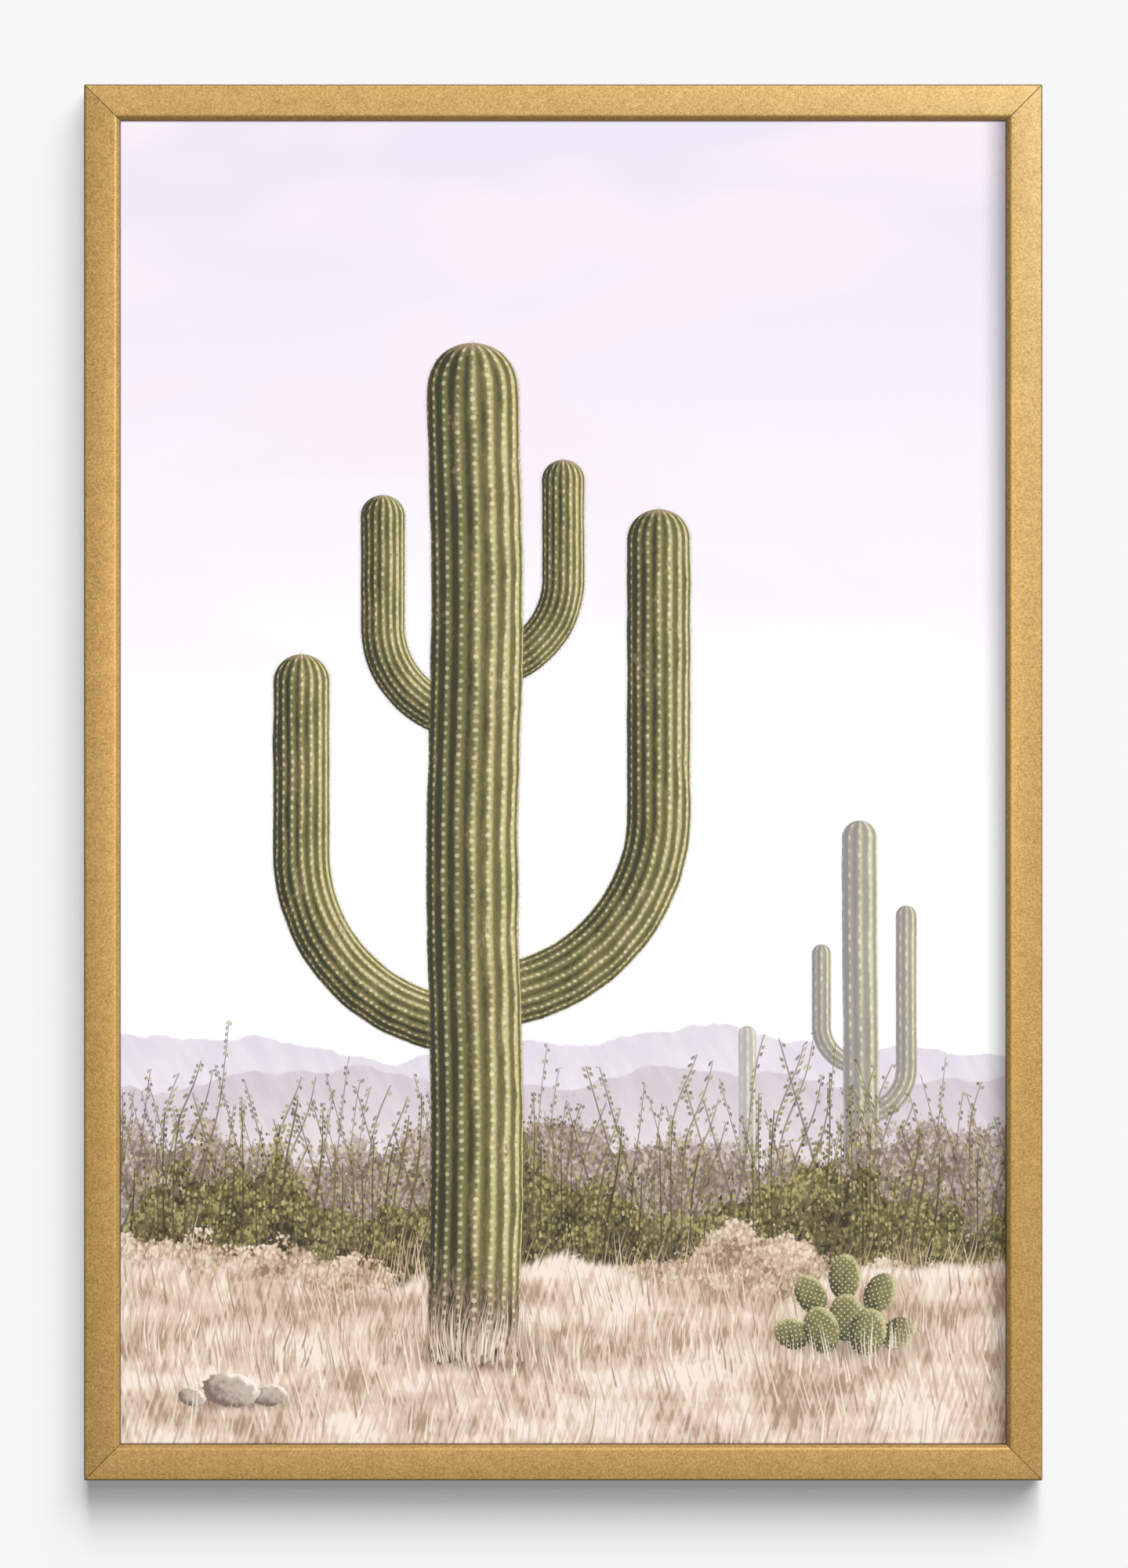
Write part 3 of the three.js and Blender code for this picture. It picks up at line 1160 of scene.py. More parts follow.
@dataclass
class TurnLatches:
    """Eight turn latches of bent sheet with a finger tab, each on its rivet in the board."""

    board_back: float
    sheet: float = 1 * MM
    running_gap: float = 0.3 * MM
    reach: float = 22 * MM
    width: float = 11 * MM
    tail: float = 8 * MM
    bend: float = 2 * MM
    tab: float = 4 * MM
    tab_round: float = 1.2 * MM
    nose: float = 0.995
    ease: float = 0.12 * MM
    hole: float = 1.8 * MM
    shank_depth: float = 2 * MM
    rivet: Rivet = field(default_factory=Rivet)

    def blade(self) -> bpy.types.Object:
        """Bend and round one latch about its pivot, its tip up and its outer face at y = 0.

        Returns:
            The finished master.
        """
        half = self.width / 2
        low, high = Vector((-half, -self.sheet, -self.tail)), Vector((half, 0, self.reach))
        blade = Workpiece.plate("latch_blade", low, high)
        blade.pick(Pick.EDGES, lambda place, way: abs(way.y) > ALONG and place.z > self.reach - MM)
        blade.round_off(half * self.nose, 12)
        blade.pick(Pick.FACES, lambda place, way: way.z < -ALONG)
        inner = self.bend - self.sheet / 2
        blade.swing(Vector((0, inner, -self.tail)), Vector((1, 0, 0)), QUARTER, 8)
        blade.pick(Pick.FACES, lambda place, way: way.y > ALONG and place.z < -self.tail - inner)
        blade.push(Vector((0, self.tab - inner, 0)))
        blade.close_up()
        blade.pick(Pick.EDGES, lambda place, way: abs(way.z) > ALONG and place.y > self.tab - 10 * NEAR)
        blade.round_off(self.tab_round, 5)
        blade.close_up()
        blade.carve(post("latch_hole", self.hole, -self.sheet - MM, MM).finish())
        blade.soften(self.ease, angle=50)
        return blade.finish()

    def build(self, finish: bpy.types.Material) -> None:
        """Place a latch and its rivet at every latch joint.

        Args:
            finish: The steel.
        """
        blade_back = self.board_back + self.running_gap + self.sheet
        head_seat = blade_back + self.running_gap
        blade = self.blade()
        rivet = self.rivet.build("latch_rivet_master", head_seat - self.board_back + self.shank_depth)
        dress(blade, [finish])
        dress(rivet, [finish])
        for name, pivot in joint_places("latch_turn_").items():
            side = Side[name.split("_")[0].upper()]
            on_latch = Matrix.Translation((pivot.x, blade_back, pivot.z)) @ side.turn
            on_board = Matrix.Translation((pivot.x, head_seat, pivot.z))
            latch = copy_to(blade, f"steel_latch_{name}", on_latch)
            fit(latch, f"latch_{name}", f"turn_latch_{name}")
            pin = copy_to(rivet, f"pop_rivet_{name}", on_board)
            fit(pin, "frame", f"latch_rivet_{name}")
        put_away(blade)
        put_away(rivet)


@dataclass
class Hangers:
    """The two D rings, each in a folded strap with its rivet."""

    board_back: float
    sheet: float = 0.8 * MM
    eye: float = 1.45 * MM
    strap_width: float = 10 * MM
    strap_length: float = 12 * MM
    rivet_drop: float = 7.5 * MM
    wire: float = 1 * MM
    half_width: float = 9 * MM
    straight: float = 14 * MM
    corner: float = 3 * MM
    hole: float = 1.8 * MM
    shank_depth: float = 2 * MM
    fold_steps: int = 22
    strap_round: float = 1.5 * MM
    ease: float = 0.1 * MM
    rivet: Rivet = field(default_factory=Rivet)

    def strap(self) -> bpy.types.Object:
        """Fold one strap round the ring's bar, the bar along X through the origin.

        Returns:
            The finished master.
        """
        middle = self.eye + self.sheet / 2
        under, over = -middle, -middle + self.sheet
        last = math.pi - math.asin(over / middle)
        path = [(-self.strap_length, under), (-self.strap_length / 2, under)]
        for step in range(self.fold_steps + 1):
            angle = (last + QUARTER) * step / self.fold_steps - QUARTER
            path.append((middle * math.cos(angle), middle * math.sin(angle)))
        path += [(-self.strap_length / 2, over), (-self.strap_length, over)]
        left = -self.strap_width / 2
        points = [Vector((left, y, z)) for z, y in path]
        strap = Workpiece.outline("strap", points, fill=False)
        strap.push(Vector((self.strap_width, 0, 0)))
        strap.close_up()
        strap.modify("SOLIDIFY", thickness=self.sheet, offset=0.0, use_even_offset=True)
        bpy.ops.object.mode_set(mode="EDIT")
        end = 10 * NEAR - self.strap_length
        strap.pick(Pick.EDGES, lambda place, way: abs(way.y) > ALONG and place.z < end)
        strap.round_off(self.strap_round, 5)
        drill = post("strap_hole", self.hole, -3 * self.eye, 0).finish()
        drill.data.transform(Matrix.Translation((0, 0, -self.rivet_drop)))
        strap.carve(drill)
        strap.soften(self.ease, angle=60)
        return strap.finish(smooth=38)

    def ring(self) -> bpy.types.Object:
        """Bend one ring of round wire, its straight bar along X through the origin.

        Returns:
            The finished master.
        """
        clear_bench()
        bpy.ops.mesh.primitive_circle_add(vertices=16, radius=self.wire)
        ring = Workpiece("ring")
        turn_axis = Vector((0, 1, 0))
        bpy.ops.mesh.select_all(action="SELECT")
        bpy.ops.transform.rotate(value=QUARTER, orient_axis="Y", center_override=(0, 0, 0))
        reach = self.half_width - self.corner
        ring.push(Vector((reach, 0, 0)))
        ring.swing(Vector((reach, 0, -self.corner)), turn_axis, QUARTER, 8)
        ring.push(Vector((0, 0, self.corner - self.straight)))
        ring.swing(Vector((0, 0, -self.straight)), turn_axis, math.pi, 24)
        ring.push(Vector((0, 0, self.straight - self.corner)))
        ring.swing(Vector((-reach, 0, -self.corner)), turn_axis, QUARTER, 8)
        ring.push(Vector((reach, 0, 0)))
        ring.close_up()
        return ring.finish(smooth=60)

    def build(self, finish: bpy.types.Material) -> None:
        """Place a strap, a ring and a rivet at every ring joint.

        Args:
            finish: The steel.
        """
        strap, ring = self.strap(), self.ring()
        rivet = self.rivet.build("strap_rivet_master", 2 * self.sheet + self.shank_depth)
        for master in (strap, ring, rivet):
            dress(master, [finish])
        for name, bar in joint_places("ring_swing_").items():
            on_bar = Matrix.Translation(bar)
            seat = Vector((bar.x, self.board_back + 2 * self.sheet, bar.z - self.rivet_drop))
            fold = copy_to(strap, f"folded_strap_{name}", on_bar)
            fit(fold, "frame", f"hanger_strap_{name}")
            wire = copy_to(ring, f"d_ring_{name}", on_bar)
            fit(wire, f"ring_{name}", f"hanger_ring_{name}")
            pin = copy_to(rivet, f"strap_rivet_{name}", Matrix.Translation(seat))
            fit(pin, "frame", f"hanger_rivet_{name}")
        for master in (strap, ring, rivet):
            put_away(master)


class Canvas(Sketch):
    """A node group that lays one motif over the inks that come in, by the place in the picture."""

    def __init__(self, name: str) -> None:
        """Stretch the canvas.

        Args:
            name: The motif's name.
        """
        self.group = bpy.data.node_groups.new(name, "ShaderNodeTree")
        sockets = (("u", "INPUT", "Float"), ("v", "INPUT", "Float"), ("inks", "INPUT", "Color"),
                   ("inks", "OUTPUT", "Color"))
        for socket, way, kind in sockets:
            self.group.interface.new_socket(socket, in_out=way, socket_type=f"NodeSocket{kind}")
        super().__init__(self.group)
        self.u = self.node("NodeGroupInput")
        self.v = self.u.other("v")
        self.colour = self.u.other("inks")

    def lay(self, share: Value, colour: Field | Colour) -> None:
        """Lay an ink over what is there, as strongly as its share says."""
        self.colour = self.mix(share, self.colour, colour)

    def rolling(self, middle: float, wave: float, length: float, seed: float) -> Field:
        """A height that rolls up and down across the picture.

        Args:
            middle: The middle height.
            wave: How far the largest wave rises.
            length: How long the largest wave is.
            seed: Shifts the waves.

        Returns:
            The height above each place.
        """
        turn = self.u * (2 * math.pi / length)
        small = 0.4 * (2.7 * turn + 2 * seed).sine() + 0.18 * (6.3 * turn + 3.1 * seed).sine()
        return middle + wave * ((turn + seed).sine() + small)

    def drift(self, along: float, up: float, seed: float = 0.0, detail: float = 2.0,
              lean: float = 0.0) -> Field:
        """Soft noise whose features have a width and a height in millimetres.

        Args:
            along: The features' width.
            up: Their height.
            seed: Which noise it is.
            detail: How many finer layers it has.
            lean: How far the features lean to the left, as a slope.

        Returns:
            The noise, about 0.5.
        """
        across = self.u + self.v * lean if lean else self.u
        return self.noise(self.join(across * (1 / along) + seed, self.v * (1 / up)), 1.0, detail, flat=True)

    def scatter(self, size: float, stretch: float, seed: float) -> tuple[Field, Field]:
        """Spots scattered over the picture.

        Args:
            size: The space between them in millimetres.
            stretch: Their width by their height.
            seed: Which spots they are.

        Returns:
            The distance to the nearest spot, about 0 to 1, and that spot's own random number.
        """
        place = self.join(self.u * (1 / size) + seed, self.v * (stretch / size))
        values = {"Vector": place, "Scale": 1.0}
        spot = self.node("ShaderNodeTexVoronoi", {"voronoi_dimensions": "2D"}, values, "Distance")
        return spot, self.split(spot.other("Color"))[0]

    def blend(self, level: Field, dark: Colour, middle: Colour, light: Colour) -> Field:
        """A colour between three inks, as a level goes from 0 over a half to 1."""
        return self.mix(level.ramp(0.5, 1.0), self.mix(level.ramp(0.0, 0.5), dark, middle), light)

    def close(self) -> bpy.types.NodeTree:
        """Give the painted group back.

        Returns:
            The group.
        """
        end = self.nodes.new("NodeGroupOutput")
        self.links.new(self.colour.socket, end.inputs[0])
        return self.group


@dataclass(frozen=True)
class Motif:
    """Something that the picture shows, between a lowest and a highest place in millimetres."""

    low: float
    high: float
    left: float = field(default=-10, kw_only=True)
    right: float = field(default=510, kw_only=True)

    def paint(self, canvas: Canvas) -> None:
        """Lay the motif on a canvas."""
        raise NotImplementedError


@dataclass(frozen=True, kw_only=True)
class Sky(Motif):
    """A lilac sky that pales to white, with a blush drifting through it."""

    lilac: Colour = ink(234, 226, 243)
    blush: Colour = ink(246, 235, 245)
    fade: Pair = (300, 790)
    blush_fade: Pair = (380, 620)
    cloud: Pair = (210, 90)
    cloud_edge: Pair = (0.42, 0.66)
    seed: float = 3.4

    def paint(self, canvas: Canvas) -> None:
        """Lay the sky on a canvas.

        Args:
            canvas: The canvas.
        """
        canvas.lay(canvas.v.ramp(*self.fade), self.lilac)
        cloud = canvas.drift(*self.cloud, self.seed)
        canvas.lay(cloud.ramp(*self.cloud_edge) * canvas.v.ramp(*self.blush_fade), self.blush)


@dataclass(frozen=True, kw_only=True)
class Ridge(Motif):
    """A far ridge of hills in the haze."""

    crest: float
    wave: float
    length: float
    seed: float
    haze_depth: float = 64
    rough: float = 7
    rough_size: Pair = (16, 11)
    gully: Pair = (9, 26)
    gully_lean: float = 0.5
    gully_share: float = 0.35
    tone: Colour = ink(224, 216, 227)
    foot: Colour = ink(242, 235, 240)

    def paint(self, canvas: Canvas) -> None:
        """Lay the ridge on a canvas.

        Args:
            canvas: The canvas.
        """
        below = canvas.rolling(self.crest, self.wave, self.length, self.seed) - canvas.v
        rough = self.rough * canvas.drift(*self.rough_size, self.seed, 4.0).off_half()
        gullies = canvas.drift(*self.gully, self.seed + 3, 3.0, self.gully_lean).ramp(0.35, 0.7)
        paler = below.ramp(0, self.haze_depth) + self.gully_share * gullies
        canvas.lay((below + rough).ramp(-0.7, 0.7), canvas.mix(paler.least(1.0), self.tone, self.foot))


@dataclass(frozen=True, kw_only=True)
class Thicket(Motif):
    """A bank of scrub with a ragged crest."""

    crest: float
    wave: float
    length: float
    seed: float
    blur: float
    ragged: float
    leafy: float
    dark: Colour
    middle: Colour
    light: Colour
    clump: float = 22
    leaf: float = 2.0
    darkening: float = 0.0016

    def paint(self, canvas: Canvas) -> None:
        """Lay the thicket on a canvas.

        Args:
            canvas: The canvas.
        """
        below = canvas.rolling(self.crest, self.wave, self.length, self.seed) - canvas.v
        clumps = canvas.drift(self.clump, self.clump * 0.8, self.seed, 4.0)
        fine = canvas.drift(self.clump * 0.12, self.clump * 0.15, self.seed + 7, 2.0)
        leaf, tone = canvas.scatter(self.leaf, 0.75, self.seed)
        edge = below + self.ragged * clumps.off_half() + 4 * self.blur * fine.off_half()
        edge = edge + self.leafy * (0.45 - leaf)
        level = 0.55 * clumps + 0.36 * fine + 0.24 * tone - 0.16 * leaf - below * self.darkening
        inks = canvas.blend(level.ramp(0.26, 0.76), self.dark, self.middle, self.light)
        canvas.lay(edge.ramp(-self.blur, self.blur), inks)


@dataclass(frozen=True, kw_only=True)
class Strokes(Motif):
    """Thin tapered blades or twigs that rise side by side."""

    root: float
    wave: float
    tall: float
    spread: float
    gap: float
    width: float
    lean: float
    seed: float
    dark: Colour
    light: Colour
    length: float = 150
    roll: float = 1.0
    taper: float = 1.0
    sway: float = 1.5
    cover: float = 0.9
    middle: float = 250
    reach: float = 1000
    fringe: float = 0.4

    def paint(self, canvas: Canvas) -> None:
        """Lay the strokes on a canvas."""
        self.stroke(canvas)

    def stroke(self, canvas: Canvas) -> tuple[Field, Field, Field, Field]:
        """Lay the strokes on a canvas.

        Args:
            canvas: The canvas.

        Returns:
            Each stroke's number, the offset from it and the height above its root in millimetres,
            and that height as a share of its own.
        """
        bend = self.sway * (canvas.v * (3 / self.tall) + canvas.u * 0.11).sine()
        across = (canvas.u - canvas.v * self.lean + bend) * (1 / self.gap)
        cell = across.floor()
        place, height, tone = canvas.split(canvas.chance(cell, 0.0, self.seed).other("Color"))
        root = canvas.rolling(self.root, self.wave, self.length, self.roll) - self.spread * place
        above = canvas.v - root
        rise = above / (self.tall * (0.45 + 0.55 * height))
        aside = (across - cell - (0.25 + 0.5 * place)) * self.gap
        inside = (1 - rise * self.taper) * (self.width * 0.5) - abs(aside)
        share = inside.ramp(-0.22, 0.22) * rise.ramp(0.0, 0.12) * (rise < 1.0) * self.cover
        if self.reach < self.right - self.left:
            share = share * (self.reach - abs(canvas.u - self.middle)).ramp(0, self.reach * self.fringe)
        canvas.lay(share, canvas.mix(tone, self.dark, self.light))
        return cell, aside, above, rise


@dataclass(frozen=True, kw_only=True)
class Sprigs(Strokes):
    """Thin twigs that carry small leaves on both sides."""

    fill: float
    wave: float = 8
    length: float = 170
    roll: float = 5.6
    taper: float = 0.6
    sway: float = 3
    step: float = 3.4
    offset: float = 1.25
    leaf_half: float = 0.85
    leaf_tall: float = 1.3
    bare: float = 0.3
    leaf_dark: Colour = ink(84, 76, 48)
    leaf_middle: Colour = ink(128, 120, 74)
    leaf_light: Colour = ink(186, 176, 124)

    def paint(self, canvas: Canvas) -> None:
        """Lay the twigs and their leaves on a canvas.

        Args:
            canvas: The canvas.
        """
        cell, aside, above, rise = self.stroke(canvas)
        for side in (-1, 1):
            along = above * (1 / self.step) + 0.25 * side
            place = along.floor()
            luck, shift, tone = canvas.split(canvas.chance(cell, place, self.seed + side).other("Color"))
            across = (aside - side * self.offset) * (1 / self.leaf_half)
            up = (along - place - (0.4 + 0.2 * shift)) * (self.step / self.leaf_tall)
            inside = 1 - (across * across + up * up).root()
            grown = (luck < self.fill) * rise.ramp(self.bare, self.bare + 0.1) * (rise < 1.0)
            inks = canvas.blend(tone, self.leaf_dark, self.leaf_middle, self.leaf_light)
            canvas.lay(inside.ramp(-0.1, 0.3) * grown * self.cover, inks)


@dataclass(frozen=True, kw_only=True)
class Leaves(Motif):
    """Small leaves scattered through the scrub."""

    crest: float
    wave: float
    size: float
    fill: float
    seed: float
    length: float = 170
    roll: float = 5.6
    depth: float = 90
    stretch: float = 0.6
    clump: float = 16
    dark: Colour = ink(70, 62, 38)
    middle: Colour = ink(118, 110, 62)
    light: Colour = ink(182, 170, 112)

    def paint(self, canvas: Canvas) -> None:
        """Lay the leaves on a canvas.

        Args:
            canvas: The canvas.
        """
        leaf, tone = canvas.scatter(self.size, self.stretch, self.seed)
        luck = tone.other("Y")
        below = canvas.rolling(self.crest, self.wave, self.length, self.roll) - canvas.v
        clumps = canvas.drift(self.clump, self.clump, self.seed + 5, 3.0)
        crowded = clumps.ramp(0.62 - 0.3 * self.fill, 0.7 - 0.2 * self.fill) * below.ramp(-12, 16)
        crowded = crowded * (self.depth - below).ramp(0, 20)
        share = (0.42 - leaf).ramp(0.0, 0.14) * (luck < crowded * self.fill * 1.6)
        canvas.lay(share, canvas.blend(tone, self.dark, self.middle, self.light))


@dataclass(frozen=True, kw_only=True)
class Sand(Motif):
    """Pale sandy ground under soft mounds of straw."""

    edge: float
    wave: float
    length: float
    seed: float
    lean: float = 0.3
    mound: Pair = (60, 22)
    blade: Pair = (2.6, 26)
    crossing: Pair = (3.4, 20)
    dark: Colour = ink(172, 142, 118)
    middle: Colour = ink(220, 195, 175)
    light: Colour = ink(246, 230, 216)

    def paint(self, canvas: Canvas) -> None:
        """Lay the ground on a canvas.

        Args:
            canvas: The canvas.
        """
        below = canvas.rolling(self.edge, self.wave, self.length, self.seed) - canvas.v
        mounds = canvas.drift(*self.mound, self.seed + 2, 3.0)
        straw = canvas.drift(*self.blade, self.seed + 4, 3.0, -self.lean)
        crossed = canvas.drift(*self.crossing, self.seed + 9, 2.0, self.lean)
        level = 0.5 * mounds + 0.28 * straw + 0.22 * crossed
        inks = canvas.blend(level.ramp(0.34, 0.64), self.dark, self.middle, self.light)
        canvas.lay((below + 12 * straw.off_half() + 14 * mounds.off_half()).ramp(-3, 5), inks)


@dataclass(frozen=True, kw_only=True)
class Shade(Motif):
    """The soft shade on the ground round the foot of something."""

    u: float
    v: float
    half: float
    tall: float
    strength: float
    ragged: float = 0.9
    tone: Colour = ink(116, 88, 70)

    def paint(self, canvas: Canvas) -> None:
        """Lay the shade on a canvas.

        Args:
            canvas: The canvas.
        """
        right, up = (canvas.u - self.u) * (1 / self.half), (canvas.v - self.v) * (1 / self.tall)
        broken = canvas.drift(2.4, 12, self.u, 3.0, 0.2).off_half()
        reach = (right * right + up * up).root() + self.ragged * broken
        canvas.lay(reach.ramp(1.0, 0.2) * self.strength, self.tone)


@dataclass(frozen=True, kw_only=True)
class RibbedTrunk(Motif):
    """The upright ribbed trunk of a tall cactus, with a corky foot."""

    axis: float
    half: float
    ribs: float = 9
    haze: float = 0.0
    light_aside: float = 0.62
    light_above: float = 0.3
    light_gain: float = 1.5
    spine_step: float = 5.2
    cork: float = 46
    swelling: float = 0.07
    waist: float = 0.05
    waist_wave: float = 0.021
    above_top: ClassVar[float] = 3
    below_foot: ClassVar[float] = 10
    dark: Colour = ink(50, 48, 30)
    middle: Colour = ink(116, 110, 66)
    light: Colour = ink(208, 198, 142)
    spines: Colour = ink(238, 226, 192)
    bristles: Colour = ink(150, 134, 104)
    brown: Colour = ink(92, 68, 54)
    tan: Colour = ink(172, 148, 122)
    air: Colour = ink(250, 244, 248)

    @classmethod
    def rising(cls, axis: float, half: float, foot: float, top: float, **look: object) -> "RibbedTrunk":
        """A trunk with its reach worked out.

        Args:
            axis: Where its middle line stands.
            half: Half its width.
            foot: Where it starts.
            top: Where it ends.
            **look: Its other values.

        Returns:
            The trunk.
        """
        side = cls.clearance(half)
        return cls(foot - cls.below_foot, top + cls.above_top, left=axis - side, right=axis + side,
                   axis=axis, half=half, **look)

    @staticmethod
    def clearance(half: float) -> float:
        """How far from its middle line a limb's bristles may reach."""
        return half * 1.1 + 3

    def measure(self, canvas: Canvas) -> tuple[Field, Value, Field]:
        """Measure the limb.

        Args:
            canvas: The canvas.

        Returns:
            The offset from its middle line, how far that flank faces the light, and the place along it.
        """
        waist = (canvas.v * self.waist_wave + 1.0).sine() * (self.waist * self.half)
        return canvas.u - self.axis + waist, self.light_aside * self.light_gain, canvas.v

    def paint(self, canvas: Canvas) -> None:
        """Lay the limb on a canvas.

        Args:
            canvas: The canvas.
        """
        offset, lit, along = self.measure(canvas)
        top, foot = self.high - self.above_top, self.low + self.below_foot
        patches = canvas.drift(13, 30, self.axis, 3.0)
        mottle = canvas.drift(2.6, 2.9, self.half, 3.0)
        rise = ((canvas.v - (top - self.half)) * (1 / self.half)).most(0.0)
        dome = (1 - rise * rise).root().most(0.01)
        swollen = offset * (1 / self.half) * (1 + self.swelling * patches.off_half())
        across = (swollen / dome).least(1.0).most(-1.0)
        turned = (across.arcsine() + 0.1 * patches.off_half()) * self.ribs * 2
        crest = (turned + QUARTER).sine()
        facing = across * lit * 0.9 + (1 - across * across).root() * 0.34
        level = 0.3 + 0.46 * facing + 0.24 * crest + 0.16 * turned.sine() * lit
        level = level + 0.34 * mottle.off_half() + 0.5 * patches.off_half()
        skin = canvas.blend(level, self.dark, self.middle, self.light)
        if not self.haze:
            skin = self.weathered(canvas, skin, level, patches, mottle)
            skin = canvas.mix(rise.ramp(0.72, 1.0) * 0.7, skin, self.tan)
        rib = (turned * (0.5 / math.pi) + 0.5).floor()
        pitch = along * (1 / self.spine_step) + 0.37 * rib
        luck = canvas.chance(rib, pitch.floor(), self.axis)
        beads = ((pitch - 0.25) * (2 * math.pi)).sine() + crest * 2.0 - 2.1 + 0.5 * luck
        skin = canvas.mix(beads.ramp(0.0, 0.7) * (0.22 + 0.5 * level) * (0.6 + 0.5 * luck), skin, self.spines)
        if self.haze:
            skin = canvas.mix(self.haze, skin, self.air)
        edge = ((dome - abs(swollen)) * self.half).least(top - canvas.v)
        standing = (canvas.v - foot - 14 * mottle.off_half()).ramp(-1.5, 1.5)
        if not self.haze:
            bristle = canvas.drift(0.8, 0.45, self.half, 1.0).ramp(0.46, 0.7) * (edge + 2.0).ramp(0.0, 1.8)
            canvas.lay(bristle * standing * 0.7, self.bristles)
        canvas.lay(edge.ramp(-0.35, 0.35) * standing, skin)

    def weathered(self, canvas: Canvas, skin: Field, level: Field, patches: Field, mottle: Field) -> Field:
        """Lay bark over the foot and the scars of a limb that stands near.

        Args:
            canvas: The canvas.
            skin: The green skin.
            level: How light it is.
            patches: Large soft patches.
            mottle: A fine mottle.

        Returns:
            The skin with its bark.
        """
        corky = canvas.drift(1.7, 7.0, self.half + 3, 3.0)
        above = canvas.v - (self.low + self.below_foot) - self.cork
        worn = (60 * corky.off_half() + 40 * patches.off_half() - above).ramp(-12, 12)
        scars = (patches * 0.5 + mottle * 0.5).ramp(0.58, 0.66)
        bark = canvas.mix(corky.ramp(0.35, 0.65), self.brown, self.tan)
        bark = canvas.tint(bark, 0.42 + 0.8 * level.most(0.1))
        return canvas.mix(worn.most(scars * 0.6), skin, bark)


@dataclass(frozen=True, kw_only=True)
class RibbedArm(RibbedTrunk):
    """An arm of a ribbed cactus: a quarter ring out of the trunk, then straight up."""

    side: int
    bend: float
    elbow: float
    far_off: float = 400

    @classmethod
    def out_of(cls, axis: float, side: int, bend: float, half: float, elbow: float, top: float,
               **look: object) -> "RibbedArm":
        """An arm with its reach worked out.

        Args:
            axis: The trunk's middle line.
            side: 1 to the right, -1 to the left.
            bend: The ring's radius.
            half: Half the arm's width.
            elbow: Where the ring ends and the upright part begins.
            top: Where it ends.
            **look: Its other values.

        Returns:
            The arm.
        """
        left, right = sorted((axis, axis + side * (bend + cls.clearance(half))))
        return cls(elbow - bend - half - 34, top + cls.above_top, left=left, right=right, axis=axis,
                   side=side, bend=bend, half=half, elbow=elbow, cork=-90, **look)

    def measure(self, canvas: Canvas) -> tuple[Field, Value, Field]:
        """Measure the limb.

        Args:
            canvas: The canvas.

        Returns:
            The offset from its middle line, how far that flank faces the light, and the place along it.
        """
        aside = (canvas.u - self.axis) * float(self.side)
        drop = (canvas.v - self.elbow).least(0.0)
        span = (aside * aside + drop * drop).root()
        lit = (aside * (self.light_aside * self.side) + drop * self.light_above) / span * self.light_gain
        wrong_side = (aside < 0.0) * self.far_off
        return span - self.bend + wrong_side, lit, canvas.v + aside * (drop < 0.0)


@dataclass(frozen=True)
class Pad:
    """One oval: its middle, half its width and height, and how it leans."""

    u: float
    v: float
    half: float
    tall: float
    lean: float


@dataclass(frozen=True, kw_only=True)
class PadCactus(Motif):
    """A low cactus of flat oval pads with rows of spine cushions."""

    pads: tuple[Pad, ...]
    rough: float = 0.0
    cushion: float = 3.6
    cushions: float = 0.75
    dark: Colour = ink(70, 68, 42)
    middle: Colour = ink(128, 124, 80)
    light: Colour = ink(198, 190, 140)
    spines: Colour = ink(240, 230, 202)

    def paint(self, canvas: Canvas) -> None:
        """Lay the pads on a canvas, from the back to the front.

        Args:
            canvas: The canvas.
        """
        step = 2 * math.pi / self.cushion
        mottle = canvas.drift(4, 4, self.low, 3.0)
        for pad in self.pads:
            sine, cosine = math.sin(pad.lean), math.cos(pad.lean)
            right, up = canvas.u - pad.u, canvas.v - pad.v
            aside, along = right * cosine - up * sine, right * sine + up * cosine
            across, rise = aside * (1 / pad.half), along * (1 / pad.tall)
            reach = (across * across + rise * rise).root() + self.rough * mottle.off_half()
            facing = 0.36 + 0.2 * across + 0.2 * rise + reach.ramp(0.6, 1.0) * (0.34 * across + 0.34 * rise)
            skin = canvas.blend(facing + 0.7 * mottle.off_half(), self.dark, self.middle, self.light)
            if self.cushions:
                rows = (aside * step).sine() * (along * step).sine()
                skin = canvas.mix(rows.ramp(0.6, 0.85) * self.cushions, skin, self.spines)
            canvas.lay(((1.0 - reach) * pad.half).ramp(-0.4, 0.4), skin)


